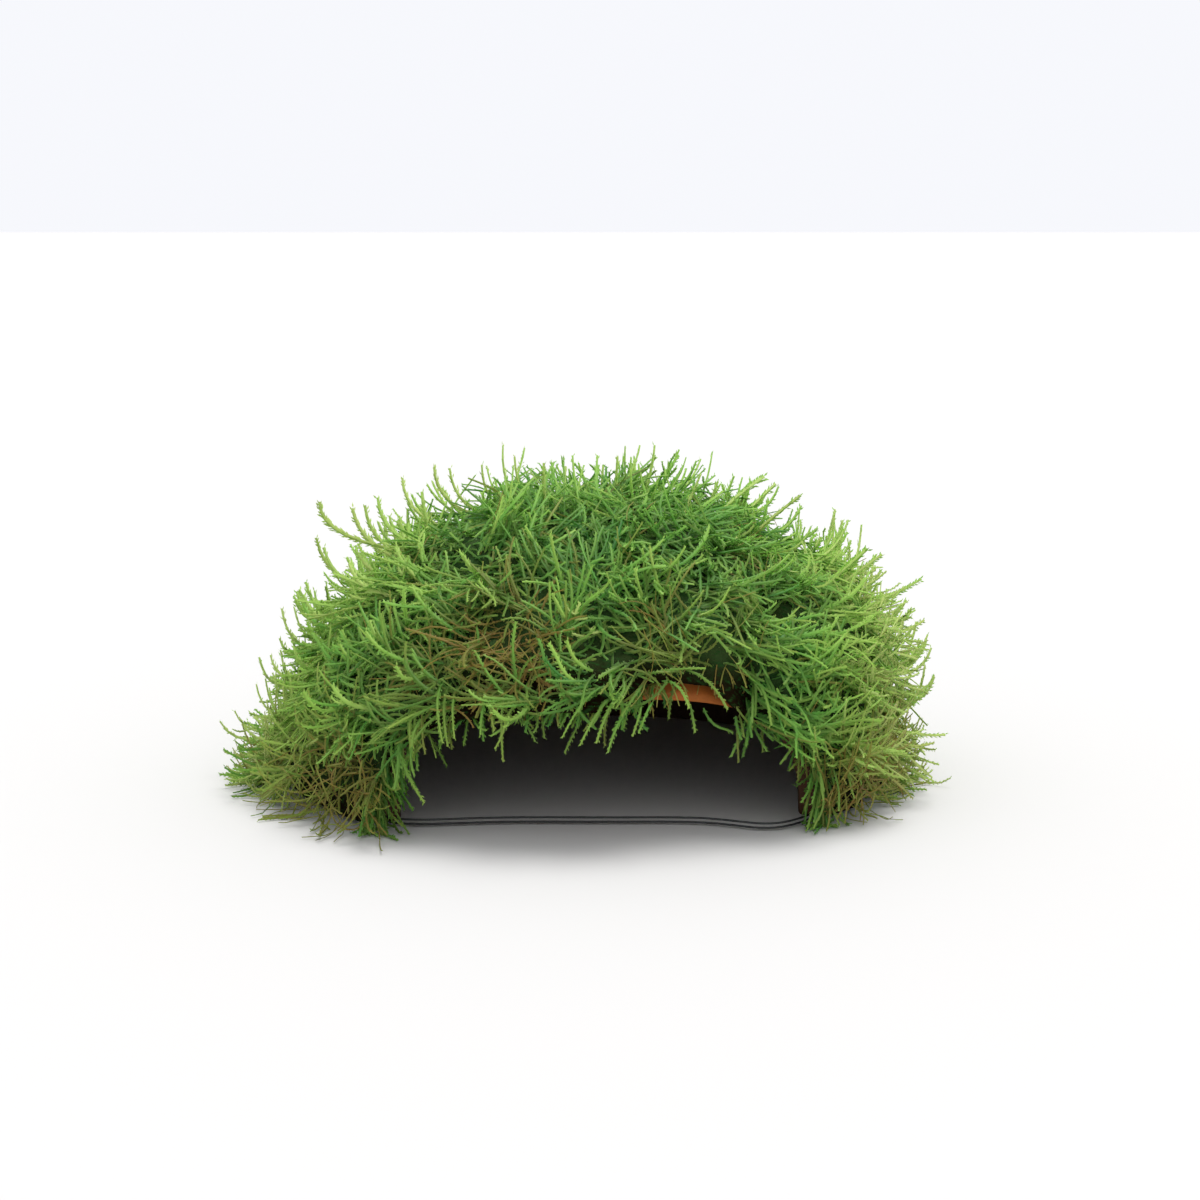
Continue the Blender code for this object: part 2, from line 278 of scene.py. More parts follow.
class Value:
    """A socket of a material. Sums, differences, products and powers add their Math nodes."""

    def __init__(self, finish, socket):
        self.finish = finish
        self.socket = socket

    def maths(self, operation, first, second, clamp=False):
        settings = {"operation": operation, "use_clamp": clamp}
        return self.finish.node("ShaderNodeMath", settings, {0: first, 1: second})

    def __add__(self, other):
        return self.maths("ADD", self, other)

    def __sub__(self, other):
        return self.maths("SUBTRACT", self, other)

    def __rsub__(self, other):
        return self.maths("SUBTRACT", other, self)

    def __mul__(self, other):
        return self.maths("MULTIPLY", self, other)

    def __pow__(self, other):
        return self.maths("POWER", self, other)

    def clamped(self):
        return self.maths("ADD", self, 0.0, clamp=True)

    __radd__ = __add__
    __rmul__ = __mul__


class Finish:
    """A material being made of nodes. Its colours are given without their alpha."""

    def __init__(self, name):
        self.material = bpy.data.materials.new(name)
        self.material.use_nodes = True
        self.tree = self.material.node_tree
        self.tree.nodes.clear()

    def node(self, kind, settings=None, inputs=None, output=0):
        """Adds a node, with its settings first and then its sockets, and gives one output."""
        node = self.tree.nodes.new(kind)
        for key, setting in (settings or {}).items():
            setattr(node, key, setting)
        for key, value in (inputs or {}).items():
            socket = node.inputs[key]
            if isinstance(value, Value):
                self.tree.links.new(value.socket, socket)
            else:
                socket.default_value = (*value, 1.0) if socket.type == "RGBA" else value
        return Value(self, node.outputs[output])

    def number(self, name):
        """A number that each place of the mesh holds."""
        settings = {"attribute_name": name, "attribute_type": "GEOMETRY"}
        return self.node("ShaderNodeAttribute", settings, output="Fac")

    def noise(self, scale, detail=2.0, roughness=0.5, stretch=None):
        place = self.node("ShaderNodeTexCoord", output="Object")
        if stretch:
            place = self.node("ShaderNodeVectorMath", {"operation": "MULTIPLY"}, {0: place, 1: stretch})
        inputs = {"Vector": place, "Scale": scale, "Detail": detail, "Roughness": roughness}
        return self.node("ShaderNodeTexNoise", inputs=inputs, output="Fac")

    def blend(self, share, first, second):
        """A colour from first to second by share."""
        inputs = {"Factor": share, 6: first, 7: second}
        return self.node("ShaderNodeMix", {"data_type": "RGBA"}, inputs, output=2)

    def bump(self, height, strength, distance):
        inputs = {"Height": height, "Strength": strength, "Distance": distance}
        return self.node("ShaderNodeBump", inputs=inputs, output="Normal")

    def solid(self, colour, roughness, specular=0.5, **others):
        inputs = {"Base Color": colour, "Roughness": roughness, "Specular IOR Level": specular, **others}
        return self.node("ShaderNodeBsdfPrincipled", inputs=inputs)

    def surface(self, shader):
        output = self.tree.nodes.new("ShaderNodeOutputMaterial")
        self.tree.links.new(shader.socket, output.inputs["Surface"])
        return self.material


def colour_setting(name, description, default):
    return FloatVectorProperty(
        name=name, description=description, default=default, subtype="COLOR", min=0.0, max=1.0
    )


def length_setting(name, description, default):
    return FloatProperty(name=name, description=description, default=default, unit="LENGTH")


def count_setting(name, description, default, least):
    return IntProperty(name=name, description=description, default=default, min=least)


class ShellSettings(bpy.types.PropertyGroup):
    wall: length_setting("Wall", "Thickness of the shell", 4.2 * MM)
    edge_round: length_setting("Edge round", "Wear on the sawn edges", 0.45 * MM)
    outside: colour_setting("Outside", "Colour of the shell's face", (0.055, 0.026, 0.013))
    sawn: colour_setting("Sawn", "Colour near the sawn doorway", (0.40, 0.115, 0.018))
    inside: colour_setting("Inside", "Colour of the inside", (0.035, 0.018, 0.009))


class MossSettings(bpy.types.PropertyGroup):
    frond_count: count_setting("Fronds", "Leafy fronds of the outer layer", 4500, 100)
    under_count: count_setting("Under fronds", "Fronds of the layer below", 4600, 100)
    tuft_count: count_setting("Tufts", "Tufts whose fronds lean the same way", 340, 10)
    shortest: length_setting("Shortest", "Length of the shortest fronds", 10 * MM)
    longest: length_setting("Longest", "Length of the longest fronds", 17 * MM)
    leaf_length: length_setting("Leaf length", "Length of one leaf", 0.84 * MM)
    leaf_width: length_setting("Leaf width", "Width of one leaf", 0.30 * MM)
    leaf_spacing: length_setting("Leaf spacing", "From leaf to leaf", 0.47 * MM)
    frond_width: length_setting(
        "Frond width", "Width of a frond without the points of its leaves", 0.62 * MM
    )
    shade: colour_setting("Shade", "Colour of leaves deep in the moss", (0.050, 0.190, 0.038))
    green: colour_setting("Green", "Colour of most leaves", (0.112, 0.42, 0.064))
    fresh: colour_setting("Fresh", "Colour of new tips", (0.47, 0.71, 0.14))
    pale: colour_setting("Pale", "Colour of the palest shoots", (0.74, 0.83, 0.27))
    old: colour_setting("Old", "Colour of old stems", (0.33, 0.175, 0.05))
    glow: colour_setting("Glow", "Colour of light through a leaf", (0.33, 0.70, 0.11))
    bed: colour_setting("Bed", "Colour of the bed under the fronds", (0.050, 0.140, 0.040))


class ThreadSettings(bpy.types.PropertyGroup):
    radius: length_setting("Radius", "Radius of the thread", 0.22 * MM)
    colour: colour_setting("Colour", "Colour of the thread", (0.012, 0.013, 0.014))


class StageSettings(bpy.types.PropertyGroup):
    floor: colour_setting("Floor", "Colour of the floor", (0.60, 0.59, 0.575))
    sky: colour_setting("Surroundings", "Colour of the light all round", (0.93, 0.94, 0.98))
    top_light: FloatProperty(name="Top light", description="Strength of the top light", default=2.4)
    camera_distance: length_setting("Camera distance", "From the object's foot", 0.485)
    camera_pitch: FloatProperty(
        name="Camera pitch",
        description="How far the camera looks down",
        default=math.radians(10.6),
        subtype="ANGLE",
    )
    lens: FloatProperty(name="Lens", description="Focal length", default=66.0, unit="CAMERA")


def shell_finish(settings):
    """Dark fibrous nut shell, orange-brown where it was sawn, veined inside."""
    finish = Finish("coconut_shell")
    sawn = finish.number("sawn")
    inner = finish.number("inner")
    fibres = finish.noise(900.0, 3.0, 0.6, stretch=(1.0, 1.0, 0.16))
    patches = finish.noise(120.0, 4.0, 0.6)
    outside = finish.blend(patches, settings.outside, settings.sawn)
    outside = finish.blend(0.88, outside, settings.outside)
    edge = (sawn * (0.1 + 0.5 * fibres + 1.2 * patches)).clamped()
    colour = finish.blend(edge, outside, settings.sawn)
    colour = finish.blend((inner * (0.8 + 0.35 * patches)).clamped(), colour, settings.inside)
    normal = finish.bump(fibres + patches, 0.5, 0.4 * MM)
    return finish.surface(finish.solid(colour, 0.6, 0.25, Normal=normal))


# The tone, with its painted light, from which fronds turn pale, how fast, and the share of light that
# goes through a leaf
PALE_FROM = 1.5
PALE_GAIN = 0.7
SHARE_THROUGH = 0.45


def moss_finish(settings):
    """Leaves that let light through. Each frond has a tone, which also carries painted light and shade,
    and an age, and it lightens to its tip: painted shade towards the root, fresher colour at the tip.
    """
    finish = Finish("java_moss")
    along = finish.number("along")
    tone = finish.number("tone")
    age = finish.number("age")
    mottle = finish.noise(260.0)
    # Painted shade: fronds fall to the shade colour towards their roots, deep in the moss, and at low
    # tones
    depth = (tone * (0.45 + 0.75 * along) + 0.3 * mottle - 0.15).clamped()
    colour = finish.blend(depth, settings.shade, settings.green)
    # A high tone, as where the painted glow at the sides lifts it, turns a whole frond fresh
    tip = (along**1.5 * (0.85 * tone - 0.05) + 0.7 * (tone - 0.95).clamped()).clamped()
    colour = finish.blend(tip, colour, settings.fresh)
    colour = finish.blend(((tone - PALE_FROM) * PALE_GAIN).clamped(), colour, settings.pale)
    colour = finish.blend(age, colour, settings.old)
    leaf = finish.solid(colour, 0.42, 0.25)
    through = finish.node("ShaderNodeBsdfTranslucent", inputs={"Color": settings.glow})
    inputs = {0: SHARE_THROUGH, 1: leaf, 2: through}
    return finish.surface(finish.node("ShaderNodeMixShader", inputs=inputs))


def dim(colour, share):
    return [share * part for part in colour]


def bed_finish(settings):
    """Dark matted stems, brown in patches, with painted shade, nearly black, at the lip over the doorway.
    """
    finish = Finish("moss_bed")
    fine = finish.noise(700.0, 4.0, 0.65)
    stems = finish.noise(1500.0, 2.0, 0.5, stretch=(0.35, 1.0, 1.0))
    patches = finish.noise(130.0, 3.0)
    colour = finish.blend(patches, settings.bed, dim(settings.old, 0.1))
    # Painted shade: nearly black on the bed just over the doorway
    colour = finish.blend(finish.number("painted_lip_shade"), colour, dim(settings.old, 0.03))
    colour = finish.blend(((stems - 0.52) * 5.0).clamped(), colour, dim(settings.shade, 0.35))
    normal = finish.bump(fine, 0.8, 1.0 * MM)
    return finish.surface(finish.solid(colour, 0.95, 0.05, Normal=normal))


def thread_finish(settings):
    finish = Finish("binding_thread")
    lay = finish.noise(2500.0, 1.0)
    return finish.surface(finish.solid(settings.colour, 0.3 + 0.2 * lay))


def floor_finish(settings):
    finish = Finish("studio_floor")
    return finish.surface(finish.solid(settings.floor, 0.85))


# The shell's mesh, and the size of the roughness on its face
SHELL_LEG_COLUMNS = 120
SHELL_DOOR_COLUMNS = 64
SHELL_ROWS = 30
SHELL_INNER_ROWS = 18
SHELL_ROUGHNESS = 0.14 * MM


class MOSS_OT_carve_shell(bpy.types.Operator):
    """Carve the half coconut shell with its sawn doorway"""

    bl_idname = "java_moss.carve_shell"
    bl_label = "Carve Shell"

    def execute(self, context):
        settings = context.scene.coconut_shell_settings
        inside = SHELL.grown(-settings.wall)
        azimuths, lows = dome_columns(SHELL, SHELL_LEG_COLUMNS, SHELL_DOOR_COLUMNS)
        outer = skin(SHELL, azimuths, lows, SHELL_ROWS, settings.edge_round)
        inner = skin(inside, azimuths, lows, SHELL_INNER_ROWS, settings.edge_round)
        outer_rim, inner_rim = (skin(dome, azimuths, lows, 1)[0] for dome in (SHELL, inside))
        ease = settings.edge_round / settings.wall
        sawn = [outer_rim + (inner_rim - outer_rim) * share for share in (ease, 0.5, 1 - ease)]
        roughness = SHELL_ROUGHNESS * uneven(outer, 5 * MM, 3)
        rough = outer + SHELL.outward(outer) * roughness[..., None]
        places, faces = closed_wall([*inner[::-1], *sawn[::-1], *rough], inside, SHELL)
        aloft = smooth((lows - 16 * MM) / (11 * MM))
        doorway = near(outer[..., 2] - lows, 7 * MM) * aloft
        inner_count = inner[..., 2].size
        outer_count = len(places) - inner_count - 2
        sawn_share = [np.zeros(inner_count), np.tile(0.9 * aloft, len(sawn)), doorway.ravel(), [0, 0]]
        inner_share = [np.ones(inner_count), np.zeros(outer_count), [1, 0]]
        values = {"sawn": np.concatenate(sawn_share), "inner": np.concatenate(inner_share)}
        mesh_piece("shell_half", places, faces, shell_finish(settings), "coconut_shell", values)
        return {"FINISHED"}


# The bed's mesh, and how it stands out: lumps (pitch, size, seed), a wide foot, uneven shoulders
BED_LEG_COLUMNS = 150
BED_DOOR_COLUMNS = 80
BED_ROWS = 48
BED_INNER_ROWS = 10
BED_GAP = 0.3 * MM
BED_OVERHANG = 1.2 * MM
BED_FOOT = 1.2 * MM
BED_RAISE = 5.0 * MM
BED_LUMPS = ((19 * MM, 1.2 * MM, 21), (10 * MM, 1.0 * MM, 22), (2.6 * MM, 0.3 * MM, 23))
LEFT_FOOT_FLARE = 4.0 * MM
LEFT_FOOT_FLARE_HEIGHT = 14.0 * MM
RIGHT_SHOULDER_FLARE = 6.0 * MM
LEFT_SHOULDER_CUT = 3.2 * MM
SHOULDER_HEIGHT = 37.0 * MM
SHOULDER_SPREAD = 12.0 * MM


def bed_swell(places):
    """How far the bed stands out at each place."""
    swell = sum(size * uneven(places, pitch, seed) for pitch, size, seed in BED_LUMPS)
    sideways = places[..., 0] / BED.half_sizes[0]
    leftness = np.maximum(-sideways, 0) ** 2
    rightness = np.maximum(sideways, 0) ** 2
    foot = near(places[..., 2], LEFT_FOOT_FLARE_HEIGHT)
    shoulder = near(places[..., 2] - SHOULDER_HEIGHT, SHOULDER_SPREAD)
    swell = swell + LEFT_FOOT_FLARE * leftness * foot
    swell = swell + RIGHT_SHOULDER_FLARE * rightness * shoulder
    return swell - LEFT_SHOULDER_CUT * leftness * shoulder


class MOSS_OT_lay_bed(bpy.types.Operator):
    """Lay the dark bed of old stems over the shell"""

    bl_idname = "java_moss.lay_bed"
    bl_label = "Lay Moss Bed"

    def execute(self, context):
        inside = SHELL.grown(BED_GAP)
        azimuths, arch = dome_columns(inside, BED_LEG_COLUMNS, BED_DOOR_COLUMNS)
        x = inside.half_sizes[0] * inside.reach_at(arch) * np.cos(azimuths)
        front = np.stack([x, np.full_like(x, -1.0), arch + 1.5 * MM], axis=-1)
        raised = bareness(front) * (arch > 1 * MM) * BED_RAISE
        outer = skin(BED, azimuths, np.maximum(arch - BED_OVERHANG, BED_FOOT) + raised, BED_ROWS)
        inner = skin(inside, azimuths, np.maximum(arch, BED_FOOT) + raised, BED_INNER_ROWS)
        fade = smooth(np.arange(BED_ROWS) / 3)[:, None]
        outer = outer + BED.outward(outer) * (bed_swell(outer) * (0.35 + 0.65 * fade))[..., None]
        outer[..., 2] = np.maximum(outer[..., 2], BED_FOOT)
        rings = [*inner[::-1], (inner[0] + outer[0]) / 2, *outer]
        places, faces = closed_wall(rings, inside, BED)
        # Painted shade, nearly black, on the bed just over the doorway's edge
        above_lip = places[:, 2] - arch_height(places[:, 0])
        painted_lip_shade = smooth(1.6 - above_lip / (7 * MM)) * (places[:, 1] < 0)
        finish = bed_finish(context.scene.java_moss_settings)
        mesh_piece("moss_bed", places, faces, finish, "java_moss", {"painted_lip_shade": painted_lip_shade})
        return {"FINISHED"}


# A frond is a bent middle line with a thin tapering sleeve and small leaves down both sides
SPINE_STEPS = 8
FROND_SIDES = 3
FROND_FLATNESS = 0.7
FROND_TAPER = np.array([0.6, 0.85, 1.0, 1.0, 1.0, 1.0, 0.97, 0.92, 0.75])
THINNER_WITH_AGE = 0.38
LEAF_OPENING = math.radians(28)

# How far the fronds' shading follows the bed's form, and a slant that keeps a side for any frond
SOFTENED = 0.9
OFF_AXIS = np.array([0.05, -0.03, 0.02])

# Even spreads of places, and the seeds of what is drawn
GOLDEN_ANGLE = math.pi * (3 - math.sqrt(5))
GOLDEN_SHARE = 0.618034
FROND_SEED = 7
TUFT_LEAN_SEED = 5
TUFT_LEVEL_SEED = 6
STREAM_SEEDS = (31, 32, 33)

# How the fronds stand: in streams, rooted under the bed's face, clear of the bed and the ground
FIELD_PITCH = 20 * MM
SUNK = 0.9 * MM
CLEAR_OF_BED = 1.004
LOWEST = 0.5 * MM
LOWEST_EDGE = 0.05 * MM
NEAR_GROUND = 7 * MM
UPRIGHT_ON_FRONT = 0.45

# How they bend: their sway, and their pull back to the bed, which a cover of HANGS_FREE takes off
SWAY = 0.40
TUFT_SWAY = 0.55
BENDING = 2.2
HOMING = 1.5 * MM
HANGS_FREE = -1.0

# Shares of the fronds that lead, that lead besides on the skyline, and that lean any way
LEADER_SHARE = 0.025
SKYLINE_SHARE = 0.16
WILD_SHARE = 0.12

# The way that the picture looks: fronds that stand out at right angles to it are on the skyline
FACING = np.array([0.0, 0.98, -0.18])

# Numbers of the smaller groups of fronds
SHOOT_COUNT = 1100
FRINGE_COUNT = 320
GROUND_COUNT = 380
STRAY_COUNT = 260
HANGING_COUNT = 130
SPRIG_SHOOTS = 3

# The share of roots kept out of the bare stretch, and of fronds that may cross it or stray
BARE_CHANCE = 0.96
OVER_BARE_SHARE = 0.25
ASTRAY_SHARE = 0.12

# Old patches on the front: (x, z) of the middle, radius and strength, all but the last in millimetres
OLD_PATCHES = (
    (-15, 37, 6.5, 1.4), (-31.5, 29, 5, 0.6), (17, 34, 8, 0.45),
    (50, 6, 8, 0.7), (60, 11, 3.5, 1.2), (-46, 8, 10, 0.8),
)

# The lighter left shoulder, and the hollow over the arch, with few fronds, where the bed shows its
# painted shade: (x, z) of the middle, and half size
LIGHTER_SHOULDER = (-40 * MM, 52 * MM)
LIGHTER_SHOULDER_RADIUS = 13 * MM
HOLLOW = (-3.5 * MM, 33 * MM)
HOLLOW_HALF_SIZE = (6.5 * MM, 3 * MM)

# Long shoots that stand out over the skyline: (x, z) of each tip in millimetres
LEADER_TIPS = (
    (-59.5, 51.5), (-58.0, 60.0), (-51.5, 58.0), (-48.5, 59.0), (-45.5, 61.0), (-41.0, 64.0),
    (-36.5, 61.5), (-34.0, 66.5), (-30.5, 66.5), (-23.5, 67.5), (-19.0, 71.5), (-16.5, 69.0),
    (-10.0, 69.0), (-5.5, 67.5), (2.5, 67.0), (5.5, 70.0), (13.5, 71.5), (23.0, 66.5),
    (27.0, 64.0), (37.0, 65.0), (40.0, 62.5), (44.0, 62.0), (49.5, 51.5), (58.5, 50.5),
    (61.5, 49.5), (71.0, 43.0), (69.5, 36.0),
)

# How far in front or behind they stand, how far under their tips they root, and how they bow
LEADER_DEPTH = 8.0 * MM
LEADER_FOOT = 10.5 * MM
LEADER_BOW = 0.2

# Fronds that hang singly from the doorway's edge: (x, z) of the root and of the tip in millimetres
HANGING_LINES = (
    (-34.9, 27.2, -34.3, 16.8), (-34.1, 27.2, -33.4, 16.1), (-33.1, 26.8, -32.9, 17.3),
    (-28.2, 30.9, -27.6, 19.5), (-27.2, 30.9, -26.6, 19.0), (-26.1, 30.5, -25.4, 20.5),
    (-20.0, 29.6, -20.5, 21.7), (-19.6, 29.6, -17.9, 22.6), (-16.5, 31.4, -15.9, 17.3),
    (-12.4, 32.6, -12.1, 25.9), (-9.9, 32.6, -3.5, 26.8), (-16.1, 30.9, -10.5, 27.0),
    (3.6, 31.8, -5.2, 21.9), (4.7, 29.6, -1.9, 20.7), (8.2, 27.9, 3.2, 19.5),
    (6.1, 30.5, 1.1, 21.2), (-37.3, 18.8, -31.7, 8.1), (-38.8, 20.0, -36.9, 9.9),
    (-30.4, 24.7, -33.4, 16.1), (17.9, 33.7, 25.1, 25.4), (13.5, 31.8, 18.0, 26.3),
    (31.9, 28.1, 38.9, 20.7), (39.2, 25.9, 42.1, 12.8), (41.7, 22.4, 51.3, 10.5),
    (9.5, 27.9, 7.6, 22.1), (11.9, 28.5, 8.9, 22.8), (35.4, 27.9, 36.4, 20.9),
    (44.8, 17.8, 52.9, 4.6),
)
HANGING_BOW = 0.22

# Bowed fronds: their length against the straight way to the tip, and how closely leaves stand
BOWED_LENGTH = 1.1
BOWED_SPACING = 0.8

# Pale sprigs on the front, some of which are painted highlights for small glints: (x, z) of each in
# millimetres
PALE_SPRIGS = (
    (30, 49), (34.5, 46), (36.5, 44), (30, 40), (-36, 44), (-27, 44.5), (0, 39), (-3, 41.5),
)


class Fronds:
    """Where each frond starts and how it grows, as arrays with one row for each frond."""

    usual = {"girth": 1.0, "lift": 0.0, "settle": 0.0, "cover": HANGS_FREE}

    def __init__(self, roots, headings, **numbers):
        self.roots = roots
        self.headings = unit(headings)
        for key, number in {**self.usual, **numbers}.items():
            setattr(self, key, np.broadcast_to(number, len(roots)))

    def joined(self, *others):
        groups = [vars(group) for group in (self, *others)]
        return Fronds(**{key: np.concatenate([rows[key] for rows in groups]) for key in groups[0]})

    def chosen(self, which):
        return Fronds(**{key: rows[which] for key, rows in vars(self).items()})


def even_places(count, jitter, chance):
    """Places spread evenly over the bed by area, in a sunflower spiral with some jitter."""
    rises = np.linspace(0, math.pi / 2, 400)
    profile = BED.place(np.zeros(1), rises)
    run = np.linalg.norm(np.diff(profile, axis=0), axis=1)
    girth = (profile[1:, 0] + profile[:-1, 0]) / 2
    area = np.concatenate([[0], np.cumsum(run * girth)])
    shares = (np.arange(count) + 0.5) / count
    rise = np.interp(shares * area[-1], area, rises)
    places = BED.place(np.arange(count) * GOLDEN_ANGLE, rise)
    places = places + jitter * chance.normal(size=places.shape)
    places[:, 2] = np.maximum(places[:, 2], BED_FOOT)
    return places / BED.depth(places)[:, None]


def on_bed(roots):
    """The same roots, a little under the lumpy face of the bed."""
    return roots + BED.outward(roots) * (bed_swell(roots) - SUNK)[:, None]


def on_front(x, height):
    """Places on the front of the smooth bed, at x and a height."""
    azimuth = -np.arccos(np.clip(x / (BED.half_sizes[0] * BED.reach_at(height)), -1, 1))
    return BED.place(azimuth, BED.rise_at(height))


def covered(roots, hollowed, chance):
    """Which roots are on the bed: none in the doorway, few on the bare stretch, fewer in the hollow."""
    on_face = roots[:, 1] < 0
    in_doorway = on_face & (roots[:, 2] < arch_height(roots[:, 0]) - 0.5 * MM)
    hollow = smooth(1.5 - from_spot(roots, HOLLOW, HOLLOW_HALF_SIZE)) * on_face * hollowed
    bare = chance.random(len(roots)) < np.maximum(bareness(roots) * BARE_CHANCE, hollow)
    return ~(in_doorway | bare)


def nearest(roots, tufts):
    """The number of the tuft that each root belongs to."""
    return np.linalg.norm(roots[:, None, :] - tufts[None, :, :], axis=2).argmin(axis=1)


def lean_of(roots, out, order, looseness, chance, tufts):
    """The way that fronds lean along the bed: outwards and down, in streams and tufts, at random."""
    shares = roots / BED.half_sizes
    combed = np.stack([1.2 * shares[:, 0], 0.35 * shares[:, 1], 0.45 * shares[:, 2] - 0.5], axis=1)
    streams = np.stack([uneven(roots, FIELD_PITCH, seed) for seed in STREAM_SEEDS], axis=1)
    tuft_lean = np.random.default_rng(TUFT_LEAN_SEED).normal(size=tufts.shape)[nearest(roots, tufts)]
    loose = chance.normal(size=roots.shape) * looseness
    lean = order * (combed + 0.8 * (streams * [1.0, 0.8, 0.6]) + 0.65 * tuft_lean) + loose
    lean[:, 2] = lean[:, 2] * (UPRIGHT_ON_FRONT + (1 - UPRIGHT_ON_FRONT) * shares[:, 0] ** 2)
    return unit(lean - out * (lean * out).sum(axis=1, keepdims=True))


def frond_age(roots, chance):
    """How brown each frond is: in the named patches, here and there, and near the ground."""
    age = 0.04 + 0.10 * np.maximum(uneven(roots, 12 * MM, 34), 0)
    for x, z, radius, strength in OLD_PATCHES:
        away = from_spot(roots, (x * MM, z * MM), radius * MM)
        age = age + strength * near(away) * (roots[:, 1] < 0)
    age = age + 0.30 * near(roots[:, 2], NEAR_GROUND)
    age = age + np.where(chance.random(len(roots)) < 0.05, 0.45, 0.0)
    return np.clip(age + 0.08 * chance.normal(size=len(roots)), 0, 1)


def upper_fronds(settings, tufts, chance):
    """The outer layer: leafy fronds in tufts, some of which stand up as leaders."""
    roots = even_places(settings.frond_count, 0.8 * MM, chance)
    roots = roots[covered(roots, 0.85, chance)]
    tuft = nearest(roots, tufts)
    roots = roots + 0.5 * (tufts[tuft] - roots)
    tuft_level = np.random.default_rng(TUFT_LEVEL_SEED).uniform(-1, 1, len(tufts))[tuft]
    count = len(roots)
    out = BED.outward(roots)
    height = roots[:, 2] / BED.half_sizes[2]
    sideways = roots[:, 0] / BED.half_sizes[0]
    skyline = near(out @ FACING, 0.2) * (height > 0.2)
    leader = chance.random(count) < LEADER_SHARE * (0.4 + height) + SKYLINE_SHARE * skyline
    stand = np.where(leader, 1.0 + 0.5 * height**2, 0.45) + 0.15 * chance.normal(size=count)
    looseness = np.where(chance.random(count) < WILD_SHARE, 1.6, 0.22)[:, None]
    headings = out * np.maximum(stand, 0.12)[:, None]
    headings = headings + lean_of(roots, out, 1.0, looseness, chance, tufts)
    crown = height**3
    lift = (0.10 + 0.35 * sideways**2) * (1 - crown)
    lift = lift + 0.16 * (1 - 0.6 * crown) * chance.normal(size=count)
    lift = lift + leader * (0.5 + 0.9 * sideways**2) + 0.6 * near(roots[:, 2], NEAR_GROUND)
    tone = 0.54 + 0.15 * uneven(roots, 14 * MM, 36) + 0.20 * chance.normal(size=count)
    # Painted light and shade: fronds on the bed's lumps and on higher tufts are lighter, those in its
    # hollows and on low tufts darker
    tone = tone + 0.12 * np.clip(bed_swell(roots) / MM, -2, 2) + 0.27 * tuft_level
    tone = tone + 0.95 * near(from_spot(roots, LIGHTER_SHOULDER, LIGHTER_SHOULDER_RADIUS)) + 0.8 * leader
    # Painted glow: fronds near the left and right sides, the right most, are lighter, as if lit through
    # from behind
    tone = tone + np.where(sideways > 0, 6.0, 2.0) * np.abs(sideways) ** 5.5
    lengths = chance.uniform(settings.shortest, settings.longest, count)
    return Fronds(
        on_bed(roots),
        headings,
        lengths=lengths * (1 + 0.13 * tuft_level + leader * (0.15 - 0.25 * height**2)),
        girth=np.clip(1 + 0.4 * leader + 0.16 * chance.normal(size=count), 0.6, 1.5),
        lift=lift,
        tone=np.minimum(tone, 2.9),
        age=frond_age(roots, chance) * (1 - 0.7 * leader),
        settle=0.75 * (1 - leader),
        cover=(3.0 + 2.0 * tuft_level + chance.uniform(-1.2, 1.2, count)) * MM,
        spacing=settings.leaf_spacing,
    )


def under_fronds(settings, tufts, chance):
    """The layer below: fronds that lie along the bed and cross each other, darker with painted shade and
    lighter at the sides with a painted glow.
    """
    roots = even_places(settings.under_count, 1.2 * MM, chance)
    roots = roots[covered(roots, 0.2, chance)]
    count = len(roots)
    out = BED.outward(roots)
    stand = 0.20 + 0.08 * chance.normal(size=count)
    sideways = np.abs(roots[:, 0] / BED.half_sizes[0])
    return Fronds(
        on_bed(roots),
        out * stand[:, None] + lean_of(roots, out, 0.2, 0.6, chance, tufts),
        lengths=chance.uniform(0.8 * settings.shortest, 0.8 * settings.longest, count),
        girth=1.1,
        lift=0.10 * chance.normal(size=count),
        # Painted shade: a low tone for the layer below, with the painted glow at the sides
        tone=0.38 + 1.9 * sideways**6 + 0.14 * chance.normal(size=count),
        age=np.clip(frond_age(roots, chance) + 0.08, 0, 1),
        settle=0.6,
        cover=chance.uniform(0.2, 1.8, count) * MM,
        spacing=2.4 * settings.leaf_spacing,
    )


def side_shoots(fronds, spine, chance):
    """Short shoots that fork from the fronds of both layers."""
    parents = chance.choice(len(spine), SHOOT_COUNT, replace=False)
    step = chance.integers(2, SPINE_STEPS - 1, SHOOT_COUNT)
    roots = spine[parents, step]
    ahead = unit(spine[parents, step + 1] - roots)
    side = unit(np.cross(ahead, BED.outward(roots))) * chance.choice([-1, 1], SHOOT_COUNT)[:, None]
    return Fronds(
        roots,
        ahead + 0.85 * side + 0.3 * chance.normal(size=roots.shape),
        lengths=chance.uniform(3.0, 6.5, SHOOT_COUNT) * MM,
        girth=0.75,
        lift=fronds.lift[parents],
        tone=fronds.tone[parents] + 0.1,
        age=fronds.age[parents],
        spacing=fronds.spacing[parents],
    )


